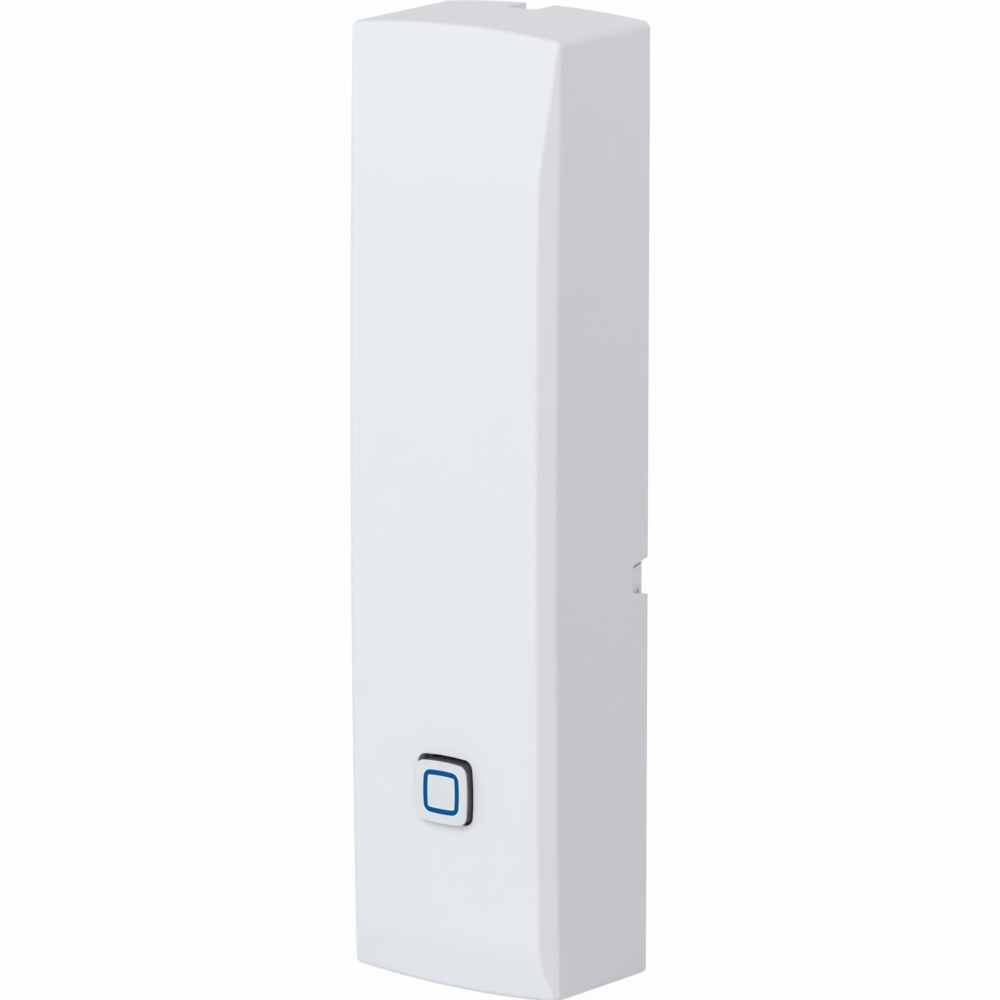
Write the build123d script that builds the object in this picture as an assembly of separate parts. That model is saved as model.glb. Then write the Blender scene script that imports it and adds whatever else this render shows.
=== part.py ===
from build123d import *
import math
import os

# Wall-mounted wireless contact sensor: a slim two-part housing with a push button, two AAA cells
# and a circuit board. Millimetres. Origin at the centre of the wall face of the back plate.
# +X is to the right of someone facing the front, -Y points out of the wall, +Z is up.
# A "depth" is a distance from the wall, so it is -Y.

# ---------------------------------------------------------------- driving dimensions: housing
HEIGHT = 110.0
WIDTH = 28.6
END_RISE = 0.79  # how far the top and bottom ends bow outwards at the middle
END_LEAN = 0.02  # mould draft: how far the ends lean in for each millimetre of depth
SIDE_DEPTH = 16.65  # depth of the sides at both ends
SIDE_BULGE = 0.78  # how much deeper the sides are at mid-height
CHAMFER = 1.62  # leg of the 45 degree chamfer along the long front edges
TOP_SLOPE = 16.4  # height over which the front face slopes back to the top edge
BOTTOM_SLOPE = 6.2  # the same at the bottom edge
END_LAND = 0.15  # leg of the chamfer that is left at both ends
TOP_KINK_R = 25.0  # soft bends where the slopes begin
BOTTOM_KINK_R = 8.0
CORNER_R = 0.9  # top and bottom corners, seen from the front
TOP_EDGE_R = 0.5
BOTTOM_EDGE_R = 0.85
CREASE_R = 0.5  # both long edges of a chamfer
WALL = 1.4
RIM_START = 0.15  # the cover's rear rim stops this far short of the wall

# Rear rim: the cover laps over the upstanding wall of the back plate.
LAP_INSET = 0.78
LAP_DEPTH = 4.2
BASE_INSET = 0.95
BASE_WALL = 0.9
BASE_WALL_DEPTH = 3.9
PLATE_THICK = 2.0

# Pry notches in the cover's rim: width inside, width at the rim, depth, and the rim's rounding.
SIDE_NOTCH = (3.28, 4.15, 2.95, 0.35)
TOP_NOTCH = (3.95, 3.95, 3.9, 0.3)
NOTCH_CORNER = 0.35
SIDE_NOTCH_Z = -8.11
TOP_NOTCH_X = -0.62

# Grooves of the springy tongue behind each side notch: both ends of each, as (depth, z).
TONGUE_GROOVES = (
    ((1.72, -7.08), (0.25, -6.8)),
    ((1.69, -10.07), (0.78, -10.24)),
    ((0.73, -10.28), (0.71, -9.67)),
)
GROOVE_WIDTH = 0.24
GROOVE_DEPTH = 0.5

# Wall screws, adhesive recesses and the cable opening of the back plate.
SCREW_SPACING = 84.0
SCREW_HOLE_R = 2.0
SCREW_HEAD_R = 3.7
CABLE_OPENING = (12.0, 8.0)
CABLE_Z = -15.0

# ---------------------------------------------------------------- driving dimensions: inside
CELL_R = 5.25
CELL_BODY = 43.7
NUB_R = 1.9
NUB_HEIGHT = 0.8
CELL_X = 5.4
CELL_DEPTH = 7.9
BAY = (1.9, 49.6)  # lowest and highest point between the end walls
SHEET = 0.4
SPRING_LENGTH = 2.4
SPRING_R = (3.2, 2.1)  # at the contact plate and at the cell
SPRING_TURNS = 3
SPRING_STEPS = 8  # points of the wire's route in each turn
WIRE_R = 0.22

BOARD_BACK = 7.0
BOARD_FACE = 8.0
BOARD_HALF = 11.7
BOARD_Z = (-51.0, -1.6)
BOARD_SCREWS = ((-9.6, -5.4), (9.6, -5.4))
ACCESS_HOLE_R = 4.2

# Button: every face is a square with slightly bowed sides.
BUTTON_Z = -31.28
BUTTON_FRONT = 19.74
CAP_HALF = 3.63
CAP_CUT = 0.13  # the cap's top edge is this much lower than a square's
CAP_THICK = 0.2
CAP_EDGE_R = 0.12
RING_HALF = 2.62
RING_STROKE = 0.84
RING_X = 0.09
RING_BOW = 0.12
RING_CORNER = 0.8
RING_INNER_CORNER = 0.25
RING_FOOT = 17.2  # how deep the light guide reaches into the button
HOLE_GAP = 0.28
HOLE_LIFT = 0.15  # the button hangs this much low in its hole
BUTTON_TRAVEL = 0.3
FLANGE_HALF = 4.4
GUIDE_INNER = 4.65
GUIDE_OUTER = 5.55

HALF = WIDTH / 2
TOP = HEIGHT / 2
FRONT_AT_MID = SIDE_DEPTH + SIDE_BULGE + CHAMFER


# ---------------------------------------------------------------- helpers
def block(x, depth, z):
    """A box from three (low, high) pairs."""
    size = [high - low for low, high in (x, depth, z)]
    centre = [(low + high) / 2 for low, high in (x, depth, z)]
    return Pos(centre[0], -centre[1], centre[2]) * Box(*size)


def peg(x, z, radius, depth):
    """A cylinder that stands out of the wall."""
    low, high = depth
    return Pos(x, -(low + high) / 2, z) * Rot(90, 0, 0) * Cylinder(radius, high - low)


def upright(x, depth, radius, z):
    """A cylinder along Z."""
    low, high = z
    return Pos(x, -depth, (low + high) / 2) * Cylinder(radius, high - low)


def facing_front(depth, x=0.0, z=0.0):
    """A plane parallel to the wall that faces the room, with its local Y upwards."""
    return Plane(origin=(x, -depth, z), x_dir=(1, 0, 0), z_dir=(0, -1, 0))


def pillow(half, bow, corner, cut=0.0):
    """A square with bowed sides and rounded corners, with its top edge lower by the cut."""
    side = half - bow
    corners = [(-side, -side), (side, -side), (side, side - cut), (-side, side - cut)]
    middles = [(0, -half), (half, -cut / 2), (0, half - cut), (-half, -cut / 2)]
    arcs = []
    for i in range(4):
        arcs.append(ThreePointArc(corners[i], middles[i], corners[(i + 1) % 4]))
    face = make_face(arcs)
    return fillet(face.vertices(), corner)


def button_prism(half, depth, bow=0.22, corner=1.15, lift=0.0, cut=0.0, x=0.0):
    """A pillow shape on the button's axis, between two depths."""
    low, high = depth
    plane = facing_front(low, x, BUTTON_Z + lift)
    return extrude(plane * pillow(half, bow, corner, cut), high - low)


def notch_face(width, mouth, depth, flare):
    """A rim notch: wider and rounded at the rim (local Y = 0), and rounded at its inner corners."""
    half = width / 2
    rim = mouth / 2
    inner = NOTCH_CORNER
    s = math.sqrt(0.5)
    rim_end = (rim + flare, 0)
    right_flare = ThreePointArc(rim_end, (rim + flare * (1 - s), flare * (1 - s)), (rim, flare))
    right_wall = Line((rim, flare), (half, depth - inner))
    right_corner = ThreePointArc(
        (half, depth - inner), (half - inner * (1 - s), depth - inner * (1 - s)), (half - inner, depth)
    )
    floor = Line((half - inner, depth), (-half + inner, depth))
    half_outline = [right_flare, right_wall, right_corner]
    other_half = [mirror(edge, Plane.YZ) for edge in half_outline]
    outside = Polyline(rim_end, (rim + flare, -1), (-rim - flare, -1), (-rim - flare, 0))
    return make_face([*half_outline, floor, *other_half, outside])


# ---------------------------------------------------------------- housing envelope
def front_depth(z):
    """Depth of the long bow of the front face at height z."""
    return SIDE_DEPTH + CHAMFER + SIDE_BULGE * (1 - (z / TOP) ** 2)


def front_outline(inset):
    """The housing seen from the front, smaller by the inset all round."""
    half = HALF - inset
    middle = TOP - inset
    side = middle - END_RISE
    top = ThreePointArc((-half, side), (0, middle), (half, side))
    bottom = ThreePointArc((-half, -side), (0, -middle), (half, -side))
    right = Line((half, side), (half, -side))
    left = Line((-half, side), (-half, -side))
    face = make_face([top, right, bottom, left])
    return fillet(face.vertices(), max(CORNER_R - inset, 0.3))


def side_outline(inset):
    """The housing seen from the side, in a plane whose local X is depth and local Y is height."""

    def point(z):
        return (front_depth(z) - inset, z)

    z_low = -TOP + BOTTOM_SLOPE
    z_high = TOP - TOP_SLOPE
    end_depth = SIDE_DEPTH + END_LAND - inset
    middle = ThreePointArc(point(z_low), point((z_low + z_high) / 2), point(z_high))
    rest = Polyline(point(z_high), (end_depth, TOP), (0, TOP), (0, -TOP), (end_depth, -TOP), point(z_low))
    face = make_face([middle, rest])
    for z, radius in ((z_high, TOP_KINK_R), (z_low, BOTTOM_KINK_R)):
        face = fillet([v for v in face.vertices() if abs(v.Y - z) < 0.001], radius)
    return face


def chamfer_body(sign, inset):
    """Everything inside the chamfer of one long front edge."""
    reach = (HALF + SIDE_DEPTH) / math.sqrt(2) - inset
    swell = SIDE_BULGE / math.sqrt(2)
    edge = ThreePointArc((reach, -TOP), (reach + swell, 0), (reach, TOP))
    back = Polyline((reach, TOP), (-HEIGHT, TOP), (-HEIGHT, -TOP), (reach, -TOP))
    plane = Plane(origin=(0, 0, 0), x_dir=(sign, -1, 0), z_dir=(-1, -sign, 0))
    return extrude(plane * make_face([edge, back]), HEIGHT, both=True)


def end_shape(inset, start, end):
    """The upper (end 1) or lower (end -1) half before its chamfers: its end leans in towards the front."""
    lean = Vector(0, -1, -end * END_LEAN)
    reach = (FRONT_AT_MID + 1) * lean.length
    seen_from_front = extrude(facing_front(start) * front_outline(inset), reach, dir=lean.normalized())
    side_plane = Plane(origin=(0, 0, 0), x_dir=(0, -1, 0), z_dir=(-1, 0, 0))
    seen_from_side = extrude(side_plane * side_outline(inset), WIDTH, both=True)
    z_range = (min(0, end * HEIGHT), max(0, end * HEIGHT))
    half = block((-WIDTH, WIDTH), (start - 1, FRONT_AT_MID + 3), z_range)
    return seen_from_front & seen_from_side & half


def envelope(inset, start=0.0):
    """The sharp-edged solid inside the housing's surface, from a start depth outwards."""
    body = end_shape(inset, start, 1) + end_shape(inset, start, -1)
    for sign in (-1, 1):
        body = body & chamfer_body(sign, inset)
    return body


def soft_half(end, end_radius):
    """The upper or lower half of the outer solid, with its front edges rounded."""
    body = end_shape(0, RIM_START, end)
    front_rim = []
    for edge in body.edges():
        at_front = edge.center().Y < -SIDE_DEPTH + 1.8
        if at_front and abs(edge.center().Z) > 1 and edge.bounding_box().size.X > 0.01:
            front_rim.append(edge)
    body = fillet(front_rim, end_radius)
    for sign in (-1, 1):
        body = body & chamfer_body(sign, 0)
    long_edges = []
    for edge in body.edges():
        size = edge.bounding_box().size
        if size.Z > 4 and size.Y < 5 and abs(edge.center().X) > 12 and edge.center().Y < -SIDE_DEPTH:
            long_edges.append(edge)
    return fillet(long_edges, CREASE_R)


def outer_body():
    """The outer solid with rounded edges: tighter at the top end than at the bottom end."""
    return soft_half(1, TOP_EDGE_R) + soft_half(-1, BOTTOM_EDGE_R)


def side_notch(sign, x):
    """The cutter of a notch in a side's rim, between two distances from the middle."""
    low, high = x
    plane = Plane(origin=(sign * low, 0, SIDE_NOTCH_Z), x_dir=(0, 0, sign), z_dir=(sign, 0, 0))
    return extrude(plane * notch_face(*SIDE_NOTCH), high - low)


def top_notch(z):
    """The cutter of the notch in the top's rim, between two heights."""
    low, high = z
    plane = Plane(origin=(TOP_NOTCH_X, 0, low), x_dir=(-1, 0, 0), z_dir=(0, 0, 1))
    return extrude(plane * notch_face(*TOP_NOTCH), high - low)


# ---------------------------------------------------------------- housing parts
def front_cover():
    """The white shell, open at the back, with the button hole and the rim notches."""
    shell = outer_body() - envelope(WALL)
    lap = extrude(facing_front(0) * front_outline(LAP_INSET), LAP_DEPTH)
    hole = button_prism(CAP_HALF + HOLE_GAP, (WALL + 12, FRONT_AT_MID + 1), lift=HOLE_LIFT)
    shell = shell - lap - hole
    for sign in (-1, 1):
        shell = shell - side_notch(sign, (HALF - 2.5, HALF + 1))
    shell = shell - top_notch((TOP - 3.5, TOP + 1))
    inner_front = front_depth(TAMPER_Z) - WALL
    presser = peg(TAMPER_X, TAMPER_Z, 1.3, (PLUNGER_TIP + 0.03, inner_front + 0.5))
    return shell + presser


def tongue_groove(sign, start, end):
    """One shallow groove in the outer face of the plate's rim, between two points (depth, z)."""
    length = math.hypot(end[0] - start[0], end[1] - start[1]) + GROOVE_WIDTH
    angle = math.degrees(math.atan2(end[1] - start[1], start[0] - end[0]))
    centre = (sign * (HALF - BASE_INSET), -(start[0] + end[0]) / 2, (start[1] + end[1]) / 2)
    return Pos(*centre) * Rot(angle, 0, 0) * Box(2 * GROOVE_DEPTH, length, GROOVE_WIDTH)


def battery_saddles():
    """Curved rests for the two cells."""
    saddles = block((-10.9, 10.9), (PLATE_THICK, 5.6), (8.0, 9.6))
    for z in (28.0, 33.0):
        saddles = saddles + block((-10.9, 10.9), (PLATE_THICK, 5.6), (z, z + 1.6))
    for x in (-CELL_X, CELL_X):
        saddles = saddles - upright(x, CELL_DEPTH, CELL_R + 0.05, BAY)
    return saddles


def back_plate():
    """The tray that is fixed to the wall and carries everything else."""
    plate = extrude(facing_front(0) * front_outline(BASE_INSET), PLATE_THICK)
    rim = extrude(facing_front(0) * front_outline(BASE_INSET), BASE_WALL_DEPTH)
    rim = rim - extrude(facing_front(0) * front_outline(BASE_INSET + BASE_WALL), BASE_WALL_DEPTH)
    tray = plate + rim + battery_saddles()
    bay_low, bay_high = BAY
    for x in ((-12.35, -10.95), (10.95, 12.35)):
        tray = tray + block(x, (PLATE_THICK, 9.0), (bay_low - 1.2, bay_high + 1.2))
    for z in ((bay_low - 1.2, bay_low), (bay_high, bay_high + 1.2)):
        tray = tray + block((-12.35, 12.35), (PLATE_THICK, 10.2), z)
    for x, z in BOARD_SCREWS:
        tray = tray + peg(x, z, 2.0, (PLATE_THICK, BOARD_BACK)) - peg(x, z, 0.8, (2.6, BOARD_BACK))
    for x in (-9.0, 9.0):
        tray = tray + peg(x, -46.5, 1.6, (PLATE_THICK, BOARD_BACK))
        tray = tray + block((x - 1.6, x + 1.6), (PLATE_THICK, 8.1), (-52.3, -51.15))
        tray = tray + block((x - 1.6, x + 1.6), (8.1, 8.9), (-52.3, -50.4))
    for sign in (-1, 1):
        for start, end in TONGUE_GROOVES:
            tray = tray - tongue_groove(sign, start, end)
    for z in (-SCREW_SPACING / 2, SCREW_SPACING / 2):
        tray = tray - peg(0, z, SCREW_HOLE_R, (-1, 3)) - peg(0, z, SCREW_HEAD_R, (1.0, 3.0))
    width, height = CABLE_OPENING
    tray = tray - block((-width / 2, width / 2), (-1, 3), (CABLE_Z - height / 2, CABLE_Z + height / 2))
    for z in ((9.0, 35.0), (-37.0, -23.0)):
        tray = tray - block((-9.0, 9.0), (-1, 0.4), z)
    return tray


# ---------------------------------------------------------------- batteries
CELL_NEGATIVE_LOW = BAY[0] + SHEET + SPRING_LENGTH
CELL_POSITIVE_LOW = BAY[0] + SHEET


def cell(x, positive_up):
    """An AAA cell with its contact nub at one end."""
    if positive_up:
        low = CELL_NEGATIVE_LOW
        nub = upright(x, CELL_DEPTH, NUB_R, (low + CELL_BODY, low + CELL_BODY + NUB_HEIGHT))
    else:
        low = CELL_POSITIVE_LOW + NUB_HEIGHT
        nub = upright(x, CELL_DEPTH, NUB_R, (CELL_POSITIVE_LOW, low))
    can = upright(x, CELL_DEPTH, CELL_R, (low, low + CELL_BODY))
    can = fillet(can.edges().filter_by(GeomType.CIRCLE), 0.4)
    return can + nub


def cell_spring(x, base_z, direction):
    """A conical wire spring from its contact plate to the flat end of a cell."""
    rise = SPRING_LENGTH - 2 * WIRE_R - 0.06
    count = SPRING_TURNS * SPRING_STEPS
    points = []
    for i in range(count + 1):
        radius = SPRING_R[0] + (SPRING_R[1] - SPRING_R[0]) * i / count
        angle = 2 * math.pi * i / SPRING_STEPS
        points.append(Vector(radius * math.cos(angle), radius * math.sin(angle), rise * i / count))
    radii = []
    for before, corner, after in zip(points, points[1:], points[2:]):
        run = min((corner - before).length, (after - corner).length)
        turn = (corner - before).get_angle(after - corner)
        radii.append(0.45 * run / math.tan(math.radians(turn) / 2))
    route = FilletPolyline(*points, radius=radii)
    spring = sweep(Plane(route @ 0, z_dir=route % 0) * Circle(WIRE_R), route)
    if direction > 0:
        return Pos(x, -CELL_DEPTH, base_z + WIRE_R + 0.03) * spring
    return Pos(x, -CELL_DEPTH, base_z - WIRE_R - 0.03) * Rot(180, 0, 0) * spring


def bridge_contact():
    """The plate that joins both cells at the top of the bay."""
    z = (BAY[1] - SHEET, BAY[1])
    return block((-9.6, 9.6), (3.4, 12.0), z)


def low_contact(x):
    """A plate at the bottom of the bay, folded over the end wall down to the board."""
    z = BAY[0]
    plate = block((x - 3.6, x + 3.6), (3.4, 11.0), (z, z + SHEET))
    strap = block((x - 1.2, x + 1.2), (10.6, 11.0), (-3.4, z + SHEET))
    leg = block((x - 1.2, x + 1.2), (BOARD_FACE, 11.0), (-3.8, -3.4))
    return plate + strap + leg


# ---------------------------------------------------------------- circuit board
def on_board(x, z, size, height, start=BOARD_FACE):
    """A box-shaped component centred at x, z: size is (width, length)."""
    width, length = size
    return block(
        (x - width / 2, x + width / 2), (start, start + height), (z - length / 2, z + length / 2)
    )


def circuit_board():
    """The main board, with holes for its screws and for the lower wall screw."""
    board = block((-BOARD_HALF, BOARD_HALF), (BOARD_BACK, BOARD_FACE), BOARD_Z)
    board = fillet(board.edges().filter_by(Axis.Y), 1.2)
    for x, z in BOARD_SCREWS:
        board = board - peg(x, z, 1.15, (6, 9))
    return board - peg(0, -SCREW_SPACING / 2, ACCESS_HOLE_R, (6, 9))


def board_screw(x, z):
    """A small pan-head screw with a cross recess."""
    shank = peg(x, z, 0.78, (3.2, BOARD_FACE))
    head = peg(x, z, 1.9, (BOARD_FACE, BOARD_FACE + 1.3))
    head = fillet(head.edges().filter_by(GeomType.CIRCLE).sort_by(Axis.Y)[0], 0.5)
    for size in ((0.5, 2.2), (2.2, 0.5)):
        head = head - on_board(x, z, size, 1.0, BOARD_FACE + 0.6)
    return shank + head


RADIO_X, RADIO_Z = 2.2, -14.4
ANTENNA_X = 9.9


def radio_module():
    """The radio's own small board, soldered flat to the main board."""
    module = on_board(RADIO_X, RADIO_Z, (12.0, 14.0), 0.8)
    for z in [RADIO_Z - 5.4 + 1.8 * i for i in range(7)]:
        for x in (RADIO_X - 6.0, RADIO_X + 6.0):
            module = module - peg(x, z, 0.4, (BOARD_FACE, BOARD_FACE + 0.8))
    return module


def radio_shield():
    """The pressed metal can over the radio."""
    can = on_board(RADIO_X, RADIO_Z + 0.6, (9.6, 10.4), 1.7, BOARD_FACE + 0.8)
    can = fillet(can.edges().filter_by(Axis.Y), 0.5)
    return can - on_board(RADIO_X, RADIO_Z + 0.6, (9.2, 10.0), 1.5, BOARD_FACE + 0.8)


def antenna():
    """A bent wire along the board's right edge."""
    points = [(-9.2, 8.0), (-9.2, 12.6), (-24.4, 12.6), (-24.4, 14.6), (-12.0, 14.6)]
    route = FilletPolyline(*[(ANTENNA_X, -depth, z) for z, depth in points], radius=0.9)
    return sweep(Plane(route @ 0, z_dir=route % 0) * Circle(0.35), route)


MICRO_X, MICRO_Z = -7.6, -21.6


def microcontroller():
    """The flat square controller chip."""
    return on_board(MICRO_X, MICRO_Z, (5.0, 5.0), 0.9)


def crystal():
    """The clock crystal in its metal can."""
    can = on_board(-7.6, -17.0, (3.6, 1.8), 0.9)
    return fillet(can.edges().filter_by(Axis.Y), 0.4)


def voltage_converter():
    """The regulator chip: a moulded body with three legs a side."""
    chip = on_board(8.8, -29.4, (1.7, 2.9), 0.9, BOARD_FACE + 0.15)
    for z in (-30.4, -29.4, -28.4):
        chip = chip + on_board(8.8, z, (2.9, 0.4), 0.2)
    return chip


def inductor():
    """The converter's moulded coil."""
    coil = on_board(8.7, -33.6, (4.0, 4.0), 1.9)
    return chamfer(coil.edges().filter_by(Axis.Y), 0.5)


def buffer_capacitor():
    """The electrolytic can on its square foot."""
    foot = chamfer(on_board(8.2, -40.6, (6.2, 6.2), 0.9).edges().filter_by(Axis.Y), 0.7)
    can = peg(8.2, -40.6, 3.0, (BOARD_FACE + 0.9, BOARD_FACE + 5.8))
    return foot + fillet(can.edges().filter_by(GeomType.CIRCLE).sort_by(Axis.Y)[0], 0.4)


CHIP_CAPACITORS = [(-9.9, z) for z in (-27.4, -29.4, -31.4)] + [(-7.6, -12.6), (-7.6, -10.6), (7.0, -26.2)]
CHIP_RESISTORS = [(-7.4, z) for z in (-27.4, -29.4, -31.4, -33.4)]
CHIP_RESISTORS += [(-9.9, -33.4), (7.4, -36.8), (9.8, -36.8)]


def chip_part(x, z, height):
    """A two-terminal surface part, 1.6 by 0.8 mm."""
    return on_board(x, z, (1.6, 0.8), height)


# ---------------------------------------------------------------- tamper switch
TAMPER_X, TAMPER_Z = -9.4, -37.6
TAMPER_TOP = 11.6
TAMPER_TRAVEL = 1.0
PLUNGER_TIP = 13.2
PLUNGER_FOOT = TAMPER_TOP - TAMPER_TRAVEL - 1.6


def tamper_body():
    """The body of the cover switch."""
    body = on_board(TAMPER_X, TAMPER_Z, (4.2, 4.2), TAMPER_TOP - BOARD_FACE)
    return body - peg(TAMPER_X, TAMPER_Z, 0.86, (PLUNGER_FOOT - 0.2, 12))


def tamper_plunger():
    """The pin that the closed cover holds down."""
    pin = peg(TAMPER_X, TAMPER_Z, 0.8, (PLUNGER_FOOT, PLUNGER_TIP))
    return fillet(pin.edges().filter_by(GeomType.CIRCLE).sort_by(Axis.Y)[0], 0.35)


# ---------------------------------------------------------------- push button
SWITCH_FRONT = 11.4
STEM_TIP = 13.0
STEM_FOOT = 10.9


def switch_body():
    """The moulded body of the push switch, with its four legs."""
    body = on_board(0, BUTTON_Z, (6.0, 6.0), SWITCH_FRONT - BOARD_FACE)
    body = body - peg(0, BUTTON_Z, 1.85, (STEM_FOOT - BUTTON_TRAVEL - 0.1, 12))
    for x in (-3.2, 3.2):
        for z in (BUTTON_Z - 2.25, BUTTON_Z + 2.25):
            body = body + on_board(x, z, (0.6, 0.7), 0.25)
    return body


def switch_plate():
    """The sheet-metal cover of the push switch, with its four rivets."""
    plate = on_board(0, BUTTON_Z, (5.8, 5.8), 0.3, SWITCH_FRONT) - peg(0, BUTTON_Z, 1.95, (11, 12))
    for x in (-2.2, 2.2):
        for z in (BUTTON_Z - 2.2, BUTTON_Z + 2.2):
            plate = plate + peg(x, z, 0.4, (SWITCH_FRONT + 0.3, SWITCH_FRONT + 0.5))
    return plate


def switch_stem():
    """The round stem that the button pushes."""
    stem = peg(0, BUTTON_Z, 1.75, (STEM_FOOT, STEM_TIP))
    return fillet(stem.edges().filter_by(GeomType.CIRCLE).sort_by(Axis.Y)[0], 0.2)


def status_leds():
    """The lamps beside the push switch that light the ring."""
    return [on_board(x, BUTTON_Z, (1.0, 2.0), 0.7) for x in (-4.0, 4.0)]


def button_guide():
    """The square sleeve on the board that keeps the button straight."""
    lip = (15.6, 16.6)
    sleeve = on_board(0, BUTTON_Z, (2 * GUIDE_OUTER, 2 * GUIDE_OUTER), lip[1] - BOARD_FACE)
    sleeve = fillet(sleeve.edges().filter_by(Axis.Y), 0.8)
    sleeve = sleeve - on_board(0, BUTTON_Z, (2 * GUIDE_INNER, 2 * GUIDE_INNER), lip[0] - BOARD_FACE)
    sleeve = sleeve - button_prism(CAP_HALF + 0.2, (lip[0] - 0.1, lip[1] + 0.1))
    return sleeve - on_board(0, BUTTON_Z, (2 * GUIDE_OUTER + 1, 3.0), 1.6)


def button_body():
    """The dark block of the button, with its flange and the foot that meets the stem."""
    cap_back = BUTTON_FRONT - CAP_THICK
    block_part = button_prism(CAP_HALF - 0.05, (15.3, cap_back), cut=CAP_CUT)
    flange = on_board(0, BUTTON_Z, (2 * FLANGE_HALF, 2 * FLANGE_HALF), 0.8, 14.6)
    flange = fillet(flange.edges().filter_by(Axis.Y), 0.8)
    foot = peg(0, BUTTON_Z, 1.6, (STEM_TIP + 0.05, 14.7))
    return block_part + flange + foot - light_ring()


def ring_outline(depth):
    """What the light guide fills together with the square inside it."""
    return button_prism(RING_HALF, depth, RING_BOW, RING_CORNER, x=RING_X)


def ring_hole(depth):
    """The square inside the light guide."""
    return button_prism(RING_HALF - RING_STROKE, depth, RING_BOW, RING_INNER_CORNER, x=RING_X)


def light_ring():
    """The ring of the light guide, flush with the cap."""
    depth = (RING_FOOT, BUTTON_FRONT)
    return ring_outline(depth) - ring_hole(depth)


def button_cap():
    """The white frame around the ring."""
    depth = (BUTTON_FRONT - CAP_THICK, BUTTON_FRONT)
    cap = button_prism(CAP_HALF, depth, cut=CAP_CUT)
    front = cap.edges().group_by(Axis.Y)[0]
    return fillet(front, CAP_EDGE_R) - ring_outline(depth)


def button_centre():
    """The white square inside the ring."""
    return ring_hole((BUTTON_FRONT - CAP_THICK, BUTTON_FRONT))


# ---------------------------------------------------------------- screw terminal
TERMINAL_X = -7.6
TERMINAL_Z = (-50.2, -40.4)
TERMINAL_POLES = (-47.8, -42.8)
TERMINAL_TOP = 15.6


def terminal_body():
    """The moulded body of the two-pole terminal, with wire entries on its right side."""
    body = block((TERMINAL_X - 3.2, TERMINAL_X + 3.2), (BOARD_FACE, TERMINAL_TOP), TERMINAL_Z)
    slope = body.edges().filter_by(Axis.Z).group_by(Axis.Y)[0].sort_by(Axis.X)[-1]
    body = chamfer(slope, 0.9)
    for z in TERMINAL_POLES:
        body = body - peg(TERMINAL_X, z, 1.7, (12.6, TERMINAL_TOP + 1))
        body = body - block((TERMINAL_X - 2.2, TERMINAL_X + 4), (9.2, 12.6), (z - 1.5, z + 1.5))
    return body


def terminal_clamp(z):
    """The wire cage of one pole."""
    cage = block((TERMINAL_X - 1.6, TERMINAL_X + 1.6), (9.25, 12.4), (z - 1.4, z + 1.4))
    cage = cage - block((TERMINAL_X - 2, TERMINAL_X + 2), (9.65, 11.6), (z - 1.0, z + 1.0))
    return cage - peg(TERMINAL_X, z, 0.95, (11, 13))


def terminal_screw(z):
    """The slotted screw of one pole."""
    head = peg(TERMINAL_X, z, 1.55, (12.75, 14.6)) - on_board(TERMINAL_X, z, (2.9, 0.45), 1.0, 13.9)
    return head + peg(TERMINAL_X, z, 0.85, (11.2, 12.75))


# ---------------------------------------------------------------- output
def build():
    """Every sub-part, by the name of its node."""
    return {
        "front_cover": front_cover(),
        "back_plate": back_plate(),
        "battery_left": cell(-CELL_X, True),
        "battery_right": cell(CELL_X, False),
        "contact_bridge": bridge_contact(),
        "contact_negative": low_contact(-CELL_X),
        "contact_positive": low_contact(CELL_X),
        "spring_lower": cell_spring(-CELL_X, BAY[0] + SHEET, 1),
        "spring_upper": cell_spring(CELL_X, BAY[1] - SHEET, -1),
        "circuit_board": circuit_board(),
        "board_screws": Compound([board_screw(x, z) for x, z in BOARD_SCREWS]),
        "radio_module": radio_module(),
        "radio_shield": radio_shield(),
        "antenna": antenna(),
        "microcontroller": microcontroller(),
        "crystal": crystal(),
        "voltage_converter": voltage_converter(),
        "inductor": inductor(),
        "buffer_capacitor": buffer_capacitor(),
        "chip_capacitors": Compound([chip_part(x, z, 0.8) for x, z in CHIP_CAPACITORS]),
        "chip_resistors": Compound([chip_part(x, z, 0.45) for x, z in CHIP_RESISTORS]),
        "tamper_body": tamper_body(),
        "tamper_plunger": tamper_plunger(),
        "switch_body": switch_body(),
        "switch_plate": switch_plate(),
        "switch_stem": switch_stem(),
        "status_leds": Compound(status_leds()),
        "button_guide": button_guide(),
        "button_body": button_body(),
        "button_cap": button_cap(),
        "button_centre": button_centre(),
        "light_ring": light_ring(),
        "terminal_body": terminal_body(),
        "terminal_clamps": Compound([terminal_clamp(z) for z in TERMINAL_POLES]),
        "terminal_screws": Compound([terminal_screw(z) for z in TERMINAL_POLES]),
    }


os.makedirs("parts", exist_ok=True)
for name, solid in build().items():
    export_step(solid, f"parts/{name}.step")
    print(name, round(solid.volume, 1), "mm3")
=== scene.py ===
"""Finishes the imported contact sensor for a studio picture: materials, fine parts, lights and camera.

It is laid out as an add-on with one operator for each group of pieces, and is run as a script.
The wall is the plane Y = 0, the front faces -Y and +Z is up. Scene lengths are metres. A Shape
takes millimetres, and counts depth out of the wall.
"""

import math

import bmesh
import bpy
from bpy.props import FloatProperty, FloatVectorProperty, IntProperty, PointerProperty, StringProperty
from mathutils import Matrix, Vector
from mathutils.bvhtree import BVHTree


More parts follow.
